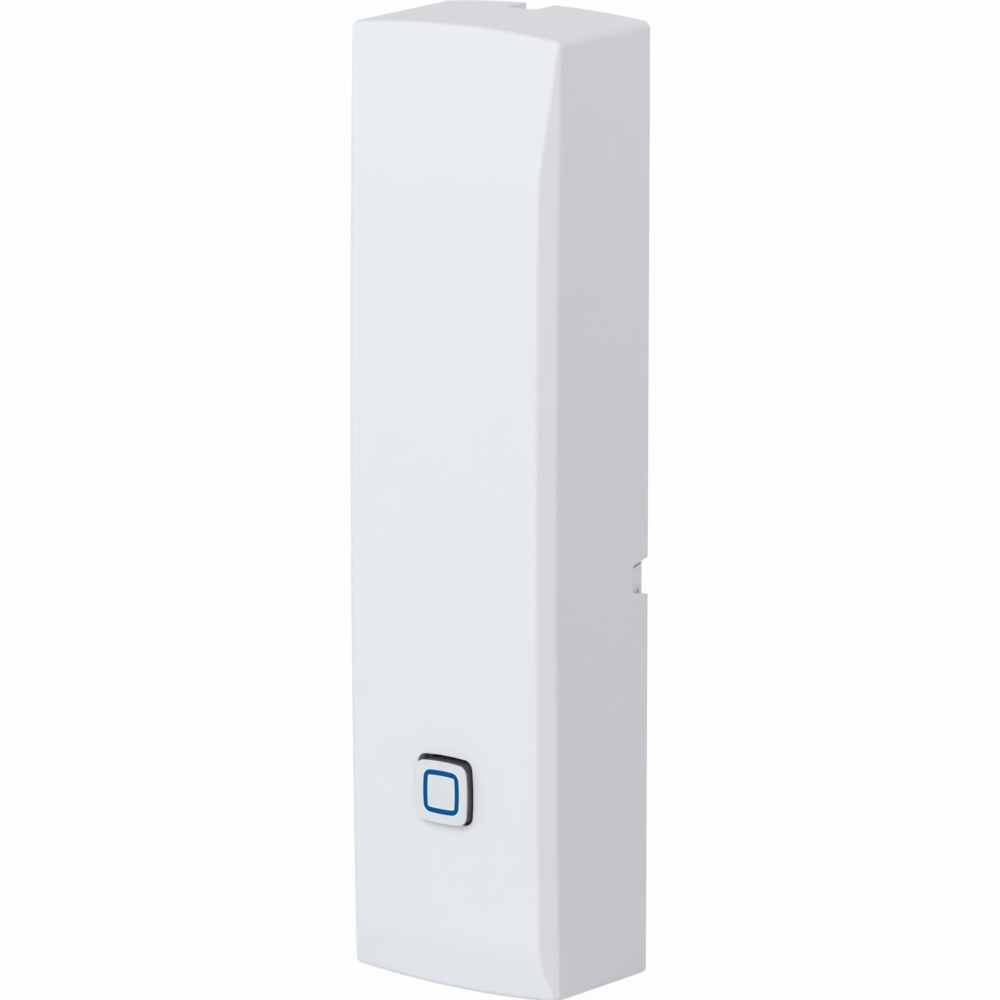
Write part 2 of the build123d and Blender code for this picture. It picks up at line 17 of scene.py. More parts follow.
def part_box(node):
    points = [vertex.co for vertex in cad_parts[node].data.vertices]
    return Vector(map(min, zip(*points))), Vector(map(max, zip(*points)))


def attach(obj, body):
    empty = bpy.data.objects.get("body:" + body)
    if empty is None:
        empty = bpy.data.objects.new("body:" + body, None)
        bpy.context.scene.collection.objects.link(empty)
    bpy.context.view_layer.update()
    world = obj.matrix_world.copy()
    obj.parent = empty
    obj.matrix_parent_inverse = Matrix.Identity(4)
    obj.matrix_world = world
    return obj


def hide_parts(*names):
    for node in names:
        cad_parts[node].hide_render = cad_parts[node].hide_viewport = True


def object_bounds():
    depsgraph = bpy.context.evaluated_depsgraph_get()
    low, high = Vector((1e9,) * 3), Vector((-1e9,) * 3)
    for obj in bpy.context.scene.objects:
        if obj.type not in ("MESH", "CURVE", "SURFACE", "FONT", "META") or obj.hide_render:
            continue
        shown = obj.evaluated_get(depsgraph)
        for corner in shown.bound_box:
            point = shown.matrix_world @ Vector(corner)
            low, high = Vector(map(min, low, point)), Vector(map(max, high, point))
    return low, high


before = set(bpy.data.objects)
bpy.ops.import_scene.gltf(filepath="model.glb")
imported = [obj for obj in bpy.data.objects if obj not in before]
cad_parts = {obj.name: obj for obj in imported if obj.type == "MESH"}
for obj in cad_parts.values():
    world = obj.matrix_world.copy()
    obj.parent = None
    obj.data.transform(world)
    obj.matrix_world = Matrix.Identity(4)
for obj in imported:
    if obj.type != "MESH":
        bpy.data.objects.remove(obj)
CAD_LOW, CAD_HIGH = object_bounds()

bl_info = {
    "name": "Contact sensor finish",
    "version": (1, 0, 0),
    "blender": (4, 5, 0),
    "location": "3D View > Sidebar > Contact sensor",
    "description": "Adds the finishes and the fine parts of a wireless contact sensor",
    "category": "Object",
}

MM = 0.001
WELD = 0.001 * MM  # corners closer than this are one corner
STUDIO_LIGHT = "FFFAFF"


# ---------------------------------------------------------------- settings
class StageSettings(bpy.types.PropertyGroup):
    """Camera and light."""

    yaw: FloatProperty(
        name="Yaw", description="How far the camera stands to the right",
        default=math.radians(36.577), subtype="ANGLE",
    )
    pitch: FloatProperty(
        name="Pitch", description="How far the camera stands above",
        default=math.radians(11.956), subtype="ANGLE",
    )
    distance: FloatProperty(
        name="Distance", description="From the aim point to the camera",
        default=0.770872, unit="LENGTH",
    )
    lens: FloatProperty(name="Lens", description="Focal length in millimetres", default=247.82)
    aim: FloatVectorProperty(
        name="Aim", description="The aim point, from the middle of the wall face",
        default=(-0.0007565, -0.007561, -0.000137), unit="LENGTH",
    )
    sky: FloatProperty(
        name="Sky", description="Strength of the light from all sides at the horizon",
        default=0.535,
    )
    zenith: FloatProperty(
        name="Zenith", description="Strength of the light from straight above, as a share of the horizon's",
        default=0.705,
    )
    sky_colour: StringProperty(
        name="Sky colour", description="Tint of the light from all sides, sRGB hex",
        default=STUDIO_LIGHT,
    )
    key: FloatProperty(
        name="Key light", description="Power of the large soft light in front and above",
        default=5.0, unit="POWER",
    )
    side: FloatProperty(
        name="Side light", description="Power of the cooler light from the left",
        default=0.75, unit="POWER",
    )
    rim: FloatProperty(
        name="Rim light", description="Power of the small light at the top right",
        default=0.045, unit="POWER",
    )


class HousingSettings(bpy.types.PropertyGroup):
    """The two housing parts."""

    colour: StringProperty(name="Colour", description="White of the plastic, sRGB hex", default="ECEEF0")
    grain: FloatProperty(
        name="Grain", description="Width of one dimple of the mould texture",
        default=0.16 * MM, unit="LENGTH",
    )


class ButtonSettings(bpy.types.PropertyGroup):
    """The push button."""

    cap: StringProperty(name="Cap", description="White of the cap, sRGB hex", default="E3E6E8")
    body: StringProperty(
        name="Body", description="Grey of the block under the cap, sRGB hex",
        default="625E60",
    )
    ring: StringProperty(
        name="Ring", description="Blue of the light guide's core, sRGB hex",
        default="044E8C",
    )
    # Painted light: the pale edges of the ring stand for the light that leaves the guide there.
    painted_edge_glow: StringProperty(
        name="Ring edge", description="Pale blue of the light guide's thin edges, sRGB hex",
        default="D0FAFF",
    )
    core: FloatProperty(
        name="Core", description="Width of the deep blue line",
        default=0.61 * MM, unit="LENGTH",
    )
    stroke: FloatProperty(
        name="Stroke", description="Width of the whole light guide",
        default=0.84 * MM, unit="LENGTH",
    )
    bow: FloatProperty(
        name="Bow", description="How far each side of the ring bows outwards",
        default=0.12 * MM, unit="LENGTH",
    )


class CellSettings(bpy.types.PropertyGroup):
    """The two AAA cells and their contacts."""

    film: StringProperty(
        name="Film", description="Main colour of the cells' sleeve, sRGB hex",
        default="2E3338",
    )
    band: StringProperty(
        name="Band", description="Colour of the band near the positive end, sRGB hex",
        default="B9BEC2",
    )
    wire: FloatProperty(
        name="Spring wire", description="Diameter of the springs' wire",
        default=0.44 * MM, unit="LENGTH",
    )


class BoardSettings(bpy.types.PropertyGroup):
    """The circuit board."""

    mask: StringProperty(
        name="Solder mask", description="Green of the solder mask over copper, sRGB hex",
        default="1F6B3A",
    )
    gap: StringProperty(
        name="Gap", description="Green of the solder mask over bare laminate, sRGB hex",
        default="12462A",
    )
    trace: FloatProperty(
        name="Trace", description="Width of a signal trace",
        default=0.2 * MM, unit="LENGTH",
    )
    balls: IntProperty(
        name="Terminals", description="Terminals on each side of the controller chip",
        default=8,
    )


class TerminalSettings(bpy.types.PropertyGroup):
    """The screw terminal."""

    colour: StringProperty(
        name="Colour", description="Green of the terminal body, sRGB hex",
        default="2F8A4C",
    )


# ---------------------------------------------------------------- materials
MATH = "ShaderNodeMath"
VECTOR = "ShaderNodeVectorMath"
NOISE = "ShaderNodeTexNoise"
RANGE = "ShaderNodeMapRange"
MIX = "ShaderNodeMix"  # of its sockets, colours go into 6 and 7 and come out of 2


def linear(code):
    """An sRGB hex colour as linear RGBA."""
    channels = [int(code[i : i + 2], 16) / 255 for i in (0, 2, 4)]
    return tuple(c / 12.92 if c <= 0.04045 else ((c + 0.055) / 1.055) ** 2.4 for c in channels) + (1.0,)


def feed(tree, node, inputs):
    """Fills inputs: a socket or a node's first output is linked, anything else is a value."""
    for name, value in inputs.items():
        if isinstance(value, bpy.types.Node):
            value = value.outputs[0]
        if isinstance(value, bpy.types.NodeSocket):
            tree.links.new(value, node.inputs[name])
        else:
            node.inputs[name].default_value = value


def add_node(tree, kind, inputs=None, **settings):
    """Adds a node with its settings and its inputs."""
    node = tree.nodes.new(kind)
    for name, value in settings.items():
        setattr(node, name, value)
    feed(tree, node, inputs or {})
    return node


def new_material(name):
    """An empty node material: its tree, its shader and its object coordinates."""
    material = bpy.data.materials.new(name)
    material.use_nodes = True
    tree = material.node_tree
    tree.nodes.clear()
    shader = add_node(tree, "ShaderNodeBsdfPrincipled")
    add_node(tree, "ShaderNodeOutputMaterial", {"Surface": shader})
    place = add_node(tree, "ShaderNodeTexCoord").outputs["Object"]
    return material, tree, shader, place


def mottled(tree, place, code, size, spread):
    """The colour, lighter and darker by the spread, in soft spots of the given size."""
    noise = add_node(tree, NOISE, {"Vector": place, "Scale": 1 / size, "Detail": 3.0})
    dark, light = (
        tuple(min(1, channel * change) for channel in linear(code)[:3]) + (1.0,)
        for change in (1 - spread, 1 + spread)
    )
    return add_node(tree, MIX, {0: noise, 6: dark, 7: light}, data_type="RGBA").outputs[2]


def dimples(tree, place, size, height):
    """A fine even bump, as a mould or a press leaves it."""
    noise = add_node(tree, NOISE, {"Vector": place, "Scale": 1 / size, "Detail": 2.0, "Roughness": 0.6})
    return add_node(tree, "ShaderNodeBump", {"Height": noise, "Distance": height, "Strength": 1.0})


def moulded_plastic(name, code, roughness, grain, height, spread=0.01, spot=6 * MM, coat=0.0):
    """Moulded plastic or resin: an even colour, a faint mould texture and a soft gloss.

    A real mould's grain is finer than the widths given here; it is drawn coarser so that it shows.
    """
    material, tree, shader, place = new_material(name)
    colour = mottled(tree, place, code, spot, spread)
    normal = dimples(tree, place, grain, height)
    feed(tree, shader, {"Base Color": colour, "Roughness": roughness, "Normal": normal})
    feed(tree, shader, {"IOR": 1.53, "Coat Weight": coat})
    return material


def worked_metal(name, code, roughness, line, stretch, spread=0.06):
    """Metal with fine lines from rolling, drawing or plating, and slightly uneven gloss.

    Real lines are a few hundredths of a millimetre wide; they are drawn coarser so that they show.
    """
    material, tree, shader, place = new_material(name)
    colour = mottled(tree, place, code, 2.5 * MM, spread)
    drawn = add_node(tree, "ShaderNodeMapping", {"Vector": place, "Scale": stretch})
    lines = add_node(tree, NOISE, {"Vector": drawn, "Scale": 1 / line, "Detail": 3.0})
    gloss = add_node(tree, RANGE, {"Value": lines, "To Min": roughness * 0.7, "To Max": roughness * 1.3})
    normal = add_node(tree, "ShaderNodeBump", {"Height": lines, "Distance": line * 0.05, "Strength": 0.6})
    feed(tree, shader, {"Base Color": colour, "Metallic": 1.0, "Roughness": gloss, "Normal": normal})
    return material


def housing_abs(settings):
    """White ABS, moulded in a spark-eroded tool: reads as plain matt white with a hint of grain.

    The real dimples are about 0.03 mm wide; they are drawn coarser so that they show.
    """
    return moulded_plastic("abs_white_spark_eroded", settings.colour, 0.5, settings.grain, 0.004 * MM, 0.006)


def light_guide(settings):
    """Blue-tinted acrylic, moulded and polished: a deep blue line between thin pale edges.

    The pale edges are painted light: a colour that stands for the light which leaves the guide there. The
    line's shape is the distance to a square with rounded corners.
    """
    low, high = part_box("light_ring")
    half = (high.x - low.x) / 2 - settings.stroke / 2
    corner = 0.5 * MM
    soft = 0.03 * MM
    bow = settings.bow / half**2
    inset = corner - half
    material, tree, shader, place = new_material("acrylic_blue_polished")
    moved = add_node(tree, VECTOR, {0: place, 1: (low + high) / 2}, operation="SUBTRACT")
    folded = add_node(tree, VECTOR, {0: moved}, operation="ABSOLUTE")
    square = add_node(tree, VECTOR, {0: folded, 1: folded}, operation="MULTIPLY")
    parts = add_node(tree, "ShaderNodeSeparateXYZ", {0: square})
    swapped = add_node(tree, "ShaderNodeCombineXYZ", {0: parts.outputs[2], 2: parts.outputs[0]})
    bent = add_node(tree, VECTOR, {0: swapped, 1: (bow, 0, bow), 2: folded}, operation="MULTIPLY_ADD")
    flat = add_node(tree, VECTOR, {0: bent, 1: (1, 0, 1), 2: (inset, 0, inset)}, operation="MULTIPLY_ADD")
    outer = add_node(tree, VECTOR, {0: flat, 1: (0, 0, 0)}, operation="MAXIMUM")
    length = add_node(tree, VECTOR, {0: outer}, operation="LENGTH").outputs["Value"]
    ends = add_node(tree, "ShaderNodeSeparateXYZ", {0: flat})
    most = add_node(tree, MATH, {0: ends.outputs[0], 1: ends.outputs[2]}, operation="MAXIMUM")
    inner = add_node(tree, MATH, {0: most, 1: 0.0}, operation="MINIMUM")
    total = add_node(tree, MATH, {0: length, 1: inner})
    signed = add_node(tree, MATH, {0: total, 1: corner}, operation="SUBTRACT")
    away = add_node(tree, MATH, {0: signed}, operation="ABSOLUTE")
    edge = {"Value": away, "From Min": settings.core / 2 - soft, "From Max": settings.core / 2 + soft}
    share = add_node(tree, RANGE, edge, interpolation_type="SMOOTHSTEP")
    core = mottled(tree, place, settings.ring, 1.2 * MM, 0.12)
    # Painted light: the pale colour at the ring's edges stands for light leaving the guide.
    line = add_node(tree, MIX, {0: share, 6: core, 7: linear(settings.painted_edge_glow)}, data_type="RGBA")
    normal = dimples(tree, place, 0.5 * MM, 0.001 * MM)
    feed(tree, shader, {"Base Color": line.outputs[2], "Roughness": 0.3, "Normal": normal})
    feed(tree, shader, {"IOR": 1.49, "Specular IOR Level": 0.12})
    return material


def solder_mask(name, code, gloss=0.32):
    """Green solder mask on glass-epoxy laminate: glossy, with the glass weave just showing.

    The board's sides are raw laminate, which is yellowish and speckled.
    """
    thread = 0.45 * MM  # from one glass thread to the next
    wave = 0.314  # length of one wave of the texture at scale 1
    material, tree, shader, place = new_material(name)
    waves = {"Vector": place, "Scale": wave / thread, "Distortion": 0.6, "Detail": 1.0}
    weave = [add_node(tree, "ShaderNodeTexWave", waves, bands_direction=way).outputs["Fac"] for way in "XZ"]
    cloth = add_node(tree, MATH, dict(enumerate(weave)), operation="MULTIPLY")
    facing = add_node(tree, "ShaderNodeTexCoord").outputs["Normal"]
    side = add_node(tree, "ShaderNodeSeparateXYZ", {"Vector": facing}).outputs["Y"]
    upright = add_node(tree, MATH, {0: side}, operation="ABSOLUTE")
    cut = add_node(tree, MATH, {0: upright, 1: 0.5}, operation="LESS_THAN")
    mask = mottled(tree, place, code, 0.8 * MM, 0.10)
    laminate = mottled(tree, place, "8C8A4A", 0.25 * MM, 0.25)
    board = add_node(tree, MIX, {0: cut, 6: mask, 7: laminate}, data_type="RGBA")
    normal = add_node(tree, "ShaderNodeBump", {"Height": cloth, "Distance": 0.006 * MM, "Strength": 0.5})
    feed(tree, shader, {"Base Color": board.outputs[2], "Roughness": gloss, "Normal": normal})
    feed(tree, shader, {"IOR": 1.55, "Coat Weight": 0.3, "Coat Roughness": 0.12})
    return material


# ---------------------------------------------------------------- shapes
def at(x, depth, z):
    """A scene point from millimetres."""
    return Vector((x, -depth, z)) * MM


class Room:
    """The space that a CAD solid takes, in millimetres: low and high, middle and size of each way."""

    def __init__(self, low, high):
        self.x = (low[0] / MM, high[0] / MM)
        self.depth = (-high[1] / MM, -low[1] / MM)
        self.z = (low[2] / MM, high[2] / MM)
        spans = (self.x, self.depth, self.z)
        self.middle = tuple((low + high) / 2 for low, high in spans)
        self.size = tuple(high - low for low, high in spans)
        # As seen from the front: the middle's x and z, the width and the height.
        self.plan = (self.middle[0], self.middle[2], self.size[0], self.size[2])


def room(node):
    """The space of a whole CAD node."""
    return Room(*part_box(node))


def rooms(node):
    """The space of each loose solid of a CAD node, from left to right and from the bottom up."""
    mesh = bmesh.new()
    mesh.from_mesh(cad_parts[node].data)
    bmesh.ops.remove_doubles(mesh, verts=mesh.verts, dist=WELD)
    waiting = set(mesh.verts)
    found = []
    while waiting:
        edge = [waiting.pop()]
        corners = []
        while edge:
            vert = edge.pop()
            corners.append(vert.co.copy())
            for link in vert.link_edges:
                other = link.other_vert(vert)
                if other in waiting:
                    waiting.discard(other)
                    edge.append(other)
        low = [min(corner[i] for corner in corners) for i in range(3)]
        high = [max(corner[i] for corner in corners) for i in range(3)]
        found.append(Room(low, high))
    mesh.free()
    return sorted(found, key=lambda space: (round(space.middle[0], 2), round(space.middle[2], 2)))


def disc(u, v, radius, steps):
    """A circle's outline."""
    turn = 2 * math.pi / steps
    return [(u + radius * math.cos(i * turn), v + radius * math.sin(i * turn)) for i in range(steps)]


def oblong(u, v, width, height, corner=0.0, steps=4):
    """A rectangle's outline, anticlockwise, with rounded corners."""
    points = []
    for i, (right, up) in enumerate(((1, 1), (-1, 1), (-1, -1), (1, -1))):
        centre_u = u + right * (width / 2 - corner)
        centre_v = v + up * (height / 2 - corner)
        for j in range(steps + 1 if corner else 1):
            angle = math.pi / 2 * (i + j / steps)
            points.append((centre_u + corner * math.cos(angle), centre_v + corner * math.sin(angle)))
    return points


def beside(path, gap, closed=False):
    """The path moved to its left by the gap; for an anticlockwise outline that is inwards."""
    moved = []
    last = len(path) - 1
    for i, spot in enumerate(path):
        before = path[i - 1] if closed or i > 0 else None
        after = path[(i + 1) % len(path)] if closed or i < last else None
        normals = []
        for start, end in ((before, spot), (spot, after)):
            if start and end:
                run = math.dist(start, end)
                normals.append(((start[1] - end[1]) / run, (end[0] - start[0]) / run))
        u = sum(normal[0] for normal in normals)
        v = sum(normal[1] for normal in normals)
        scale = gap * len(normals) / (u * u + v * v)
        moved.append((spot[0] + u * scale, spot[1] + v * scale))
    return moved


def eased(path, reach):
    """An open path whose corners are rounded, starting a reach before each."""
    steps = 5
    points = [tuple(path[0])]
    for before, corner, after in zip(path, path[1:], path[2:]):
        corner = Vector(corner)
        start = corner + (Vector(before) - corner).normalized() * reach
        end = corner + (Vector(after) - corner).normalized() * reach
        for i in range(steps + 1):
            t = i / steps
            points.append(tuple(start * (1 - t) ** 2 + corner * 2 * t * (1 - t) + end * t**2))
    points.append(tuple(path[-1]))
    return points


class Shape:
    """A mesh in the making. A ring is an outline of (u, v) points at a level, and the order says
    which of x, d (depth) and z the u, the v and the level are."""

    def __init__(self):
        self.mesh = bmesh.new()
        self.paint = 0

    def layer(self, outline, level, order="xzd"):
        """An outline's corners at a level."""
        corners = []
        for u, v in outline:
            spot = dict(zip(order, (u, v, level)))
            corners.append(self.mesh.verts.new(at(spot["x"], spot["d"], spot["z"])))
        return corners

    def face(self, corners, paint):
        """One face, shaded smooth."""
        face = self.mesh.faces.new(corners)
        face.material_index = paint
        face.smooth = True

    def wall(self, low, high, paint):
        """The faces between two layers of as many corners."""
        for i in range(len(low)):
            j = (i + 1) % len(low)
            self.face((low[i], low[j], high[j], high[i]), paint)

    def skin(self, layers, paints=None):
        """Joins layers into a closed skin; paints are material numbers."""
        paints = paints or [self.paint] * len(layers)
        for low, high, paint in zip(layers, layers[1:], paints[1:]):
            self.wall(low, high, paint)
        self.face(layers[0], paints[0])
        self.face(layers[-1], paints[-1])

    def loft(self, levels, order="xzd", paints=None):
        """A closed skin over (outline, level) pairs."""
        self.skin([self.layer(outline, level, order) for outline, level in levels], paints)

    def slab(self, outline, low, high, edge=0.0, order="xzd"):
        """An outline between two levels, with its rim at the second one rounded."""
        levels = [(outline, low)]
        way = 1 if high > low else -1
        for angle in (0, 30, 60, 90) if edge else (90,):
            turn = math.radians(angle)
            gap = edge * (1 - math.cos(turn))
            level = high - way * edge * (1 - math.sin(turn))
            levels.append((beside(outline, gap, closed=True), level))
        self.loft(levels, order)

    def ring(self, outer, inner, low, high):
        """A frame between an outer and an inner outline of as many points, between two levels."""
        levels = ((outer, low), (outer, high), (inner, high), (inner, low))
        layers = [self.layer(outline, level) for outline, level in levels]
        for first, second in zip(layers, layers[1:] + layers[:1]):
            self.wall(first, second, self.paint)

    def turned(self, profile, u, v, order="xzd", steps=32, paints=None):
        """A lathe shape on the axis through (u, v), from (radius, level) pairs."""
        self.loft([(disc(u, v, radius, steps), level) for radius, level in profile], order, paints)

    def strip(self, path, thickness, low, high, order="dzx"):
        """A band that follows a path, between two levels."""
        outline = beside(path, thickness / 2) + beside(path, -thickness / 2)[::-1]
        self.slab(outline, low, high, order=order)

    def wire(self, points, radius):
        """A round wire through (x, depth, z) points."""
        route = [Vector(point) for point in points]
        layers = []
        side = None
        for i, spot in enumerate(route):
            ahead = (route[min(i + 1, len(route) - 1)] - route[max(i - 1, 0)]).normalized()
            side = side or ahead.orthogonal()
            side = (side - ahead * side.dot(ahead)).normalized()
            across = ahead.cross(side)
            rim = [spot + side * u + across * v for u, v in disc(0, 0, radius, 12)]
            layers.append([self.mesh.verts.new(at(*point)) for point in rim])
        self.skin(layers)

    def piece(self, name, slot, materials, *replaces, body="base"):
        """Ends the mesh: a piece that rides on a body and may stand for CAD nodes."""
        bmesh.ops.recalc_face_normals(self.mesh, faces=self.mesh.faces)
        data = bpy.data.meshes.new(name)
        self.mesh.to_mesh(data)
        self.mesh.free()
        data.set_sharp_from_angle(angle=math.radians(35))
        for material in materials:
            data.materials.append(material)
        piece = bpy.data.objects.new(name, data)
        bpy.context.scene.collection.objects.link(piece)
        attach(piece, body)
        if replaces:
            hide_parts(*replaces)


def dress(node, material, bevel=0.0):
    """Gives a CAD node its material, and a small edge radius where the tool would leave one."""
    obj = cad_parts[node]
    obj.data.materials.clear()
    obj.data.materials.append(material)
    if bevel:
        weld = obj.modifiers.new("weld", "WELD")
        weld.merge_threshold = WELD
        edge = obj.modifiers.new("edge", "BEVEL")
        edge.width = bevel
        edge.segments = 2
        edge.limit_method = "ANGLE"
        edge.angle_limit = math.radians(30)


# ---------------------------------------------------------------- stage
# Each lamp: which way it stands from the object, its distance and width in metres, and its colour.
LAMPS = {
    "key": ((0, -0.8165, 0.577), 1.1, 0.75, STUDIO_LIGHT),
    "side": ((-0.75, -0.65, 0.1), 0.7, 0.5, "BEFFE1"),
    "rim": ((0.13, 0.069, 0.14), 0.2, 0.05, STUDIO_LIGHT),
}
FLOOR_REACH = 3.0
FLOOR_GAP = 0.2 * MM
FLOOR_WHITE = 0.97  # how much of the floor's look is plain white; the rest shows its shadow


class SENSOR_OT_stage(bpy.types.Operator):
    """Floor, lights and camera"""

    bl_idname = "sensor.stage"
    bl_label = "Stage"

    def execute(self, context):
        stage = context.scene.sensor_stage
        self.floor(context)
        self.sky(context, stage)
        for name, setup in LAMPS.items():
            self.lamp(name, getattr(stage, name), *setup)
        self.camera(context, stage)
        return {"FINISHED"}

    def floor(self, context):
        """A white studio floor that keeps a light shadow."""
        mesh = bpy.data.meshes.new("floor")
        outline = oblong(0, 0, 2 * FLOOR_REACH, 2 * FLOOR_REACH)
        corners = [(x, y, CAD_LOW.z - FLOOR_GAP) for x, y in outline]
        mesh.from_pydata(corners, [], [(0, 1, 2, 3)])
        floor = bpy.data.objects.new("floor", mesh)
        context.scene.collection.objects.link(floor)
        # Matt white background paper: plain white, with the object's faint shadow on it.
        material, tree, shader, _ = new_material("paper_white_floor")
        feed(tree, shader, {"Base Color": linear("F4F4F6"), "Roughness": 0.9})
        white = add_node(tree, "ShaderNodeEmission", {"Color": (1, 1, 1, 1), "Strength": 1.0})
        share = add_node(tree, MATH, {0: self.seen_directly(tree), 1: FLOOR_WHITE}, operation="MULTIPLY")
        mix = add_node(tree, "ShaderNodeMixShader", {0: share, 1: shader, 2: white})
        output = next(node for node in tree.nodes if node.type == "OUTPUT_MATERIAL")
        feed(tree, output, {"Surface": mix})
        mesh.materials.append(material)

    def seen_directly(self, tree):
        """1 for rays from the camera, and for those that metal and glass send on."""
        path = add_node(tree, "ShaderNodeLightPath")
        total = path.outputs["Is Camera Ray"]
        for name in ("Is Glossy Ray", "Is Transmission Ray"):
            total = add_node(tree, MATH, {0: total, 1: path.outputs[name]}, operation="MAXIMUM")
        return total

    def sky(self, context, stage):
        """Even light from all sides, a little weaker from straight above."""
        world = bpy.data.worlds.new("studio")
        context.scene.world = world
        world.use_nodes = True
        tree = world.node_tree
        tree.nodes.clear()
        towards = add_node(tree, "ShaderNodeTexCoord").outputs["Generated"]
        height = add_node(tree, "ShaderNodeSeparateXYZ", {"Vector": towards}).outputs["Z"]
        span = {"Value": height, "To Min": stage.sky, "To Max": stage.sky * stage.zenith}
        fade = add_node(tree, RANGE, span)
        sky = add_node(tree, "ShaderNodeBackground", {"Color": linear(stage.sky_colour), "Strength": fade})
        white = add_node(tree, "ShaderNodeBackground", {"Color": (1, 1, 1, 1), "Strength": 1.0})
        mix = add_node(tree, "ShaderNodeMixShader", {0: self.seen_directly(tree), 1: sky, 2: white})
        add_node(tree, "ShaderNodeOutputWorld", {"Surface": mix})

    def lamp(self, name, power, towards, distance, width, code):
        """A soft round lamp that shines at the middle of the object."""
        data = bpy.data.lights.new(name, "AREA")
        data.shape = "DISK"
        data.size = width
        data.energy = power
        data.color = linear(code)[:3]
        lamp = bpy.data.objects.new(name, data)
        bpy.context.scene.collection.objects.link(lamp)
        direction = Vector(towards).normalized()
        lamp.location = (CAD_LOW + CAD_HIGH) / 2 + direction * distance
        lamp.rotation_euler = direction.to_track_quat("Z", "Y").to_euler()

    def camera(self, context, stage):
        """A long lens from the front right, a little above."""
        lens = bpy.data.cameras.new("camera")
        lens.lens = stage.lens
        lens.sensor_width = 36.0
        lens.clip_start = 0.05
        lens.clip_end = 20.0
        camera = bpy.data.objects.new("camera", lens)
        context.scene.collection.objects.link(camera)
        level = math.cos(stage.pitch)
        back = Vector((math.sin(stage.yaw) * level, -math.cos(stage.yaw) * level, math.sin(stage.pitch)))
        camera.location = Vector(stage.aim) + back * stage.distance
        camera.rotation_euler = back.to_track_quat("Z", "Y").to_euler()
        context.scene.camera = camera
        context.scene.view_settings.view_transform = "Standard"


# ---------------------------------------------------------------- housing and button
class SENSOR_OT_housing(bpy.types.Operator):
    """Front cover and back plate"""

    bl_idname = "sensor.housing"
    bl_label = "Housing"

    def execute(self, context):
        settings = context.scene.sensor_housing
        material = housing_abs(settings)
        dress("front_cover", material)
        dress("back_plate", material)
        self.cover_inside(material)
        self.plate_inside(material)
        return {"FINISHED"}

    def inner_depth(self, x, z):
        """Depth of the cover's inner front face."""
        cover = BVHTree.FromObject(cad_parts["front_cover"], bpy.context.evaluated_depsgraph_get())
        hollow, forward = 3.0, Vector((0, -1, 0))
        hit = cover.ray_cast(at(x, hollow, z), forward)[0]
        return -hit.y / MM

    def cover_inside(self, material):
        """Stiffening ribs, the collar of the button hole and the marks of the ejector pins."""
        shape = Shape()
        low, high, rib_x = -26.0, 46.0, 7.6
        root = 0.3  # how far each form reaches into the shell's wall
        rise, half = 0.9, 0.4
        for x in (-rib_x, rib_x):
            heights = [low + (high - low) * i / 24 for i in range(25)]
            wall = [(self.inner_depth(x, z), z) for z in heights]
            inner = [(depth - rise, z) for depth, z in wall]
            outer = [(depth + root, z) for depth, z in wall]
            shape.slab(inner + outer[::-1], x - half, x + half, order="dzx")
        rise, half = 0.7, 0.35
        for z in (-20.0, -2.0, 16.0, 34.0):
            depth = self.inner_depth(0, z)
            crest, foot = depth - rise, depth + root
            outline = [(-rib_x, crest), (rib_x, crest), (rib_x, foot), (-rib_x, foot)]
            shape.slab(outline, z - half, z + half, order="xdz")
        x, z, _, _ = room("button_cap").plan
        rise = 0.45
        foot = self.inner_depth(0, z + 6) - rise
        shape.ring(oblong(x, z, 9.9, 9.9, 1.5), oblong(x, z, 8.3, 8.3, 1.2), foot, foot + rise + root)
        for x in (-4.0, 4.0):
            for z in (-47.5, -12.0, 8.0, 26.0, 47.0):
                depth = self.inner_depth(x, z)
                shape.turned([(1.5, depth + root), (1.5, depth - 0.02), (1.45, depth - 0.06)], x, z)
        shape.piece("cover_ribs", "housing_white", [material], body="cover")

    def plate_inside(self, material):
        """The frame of the cable opening, floor ribs and the polarity marks of the cells."""
        shape = Shape()
        floor = 2.0
        root, crest = floor - 0.1, floor + 1.1
        shape.ring(oblong(0, -15, 14, 10, 0.8), oblong(0, -15, 12, 8, 0.3), root, floor + 1.3)
        for x in (-10.6, -5.5, 5.5, 10.6):
            shape.slab(oblong(x, -30, 0.8, 17), root, crest, 0.1)
        for z in (-38.0, -22.0):
            shape.slab(oblong(0, z, 21.2, 0.8), root, crest, 0.1)
        for x in (-3.4, 3.4):
            for z in (-48.0, 18.0, 40.0):
                shape.turned([(1.6, root), (1.6, floor + 0.04), (1.55, floor + 0.08)], x, z)
        wall, length, stroke, sunk = 11.65, 1.0, 0.28, 8.9
        for x, plus, minus in ((-wall, 46.0, 6.5), (wall, 6.5, 46.0)):
            shape.slab(oblong(x, plus, length, stroke), sunk, 9.12, 0.03)
            shape.slab(oblong(x, plus, stroke, length), sunk, 9.13, 0.03)
            shape.slab(oblong(x, minus, length, stroke), sunk, 9.12, 0.03)
        shape.piece("plate_ribs", "housing_white", [material])


class SENSOR_OT_button(bpy.types.Operator):
    """Cap, light ring and block of the push button"""

    bl_idname = "sensor.button"
    bl_label = "Push button"

    def execute(self, context):
        settings = context.scene.sensor_button
        # ABS from a polished mould: the same white as the housing, but smoother and a little glossier.
        cap = moulded_plastic("abs_white_satin", settings.cap, 0.36, 0.2 * MM, 0.0015 * MM)
        # Dark grey ABS: matt, so that it stays dark beside the cap.
        grey = moulded_plastic("abs_dark_grey", settings.body, 0.5, 0.2 * MM, 0.003 * MM)
        dress("button_cap", cap)
        dress("button_centre", cap)
        dress("button_body", grey)
        dress("light_ring", light_guide(settings))
        return {"FINISHED"}


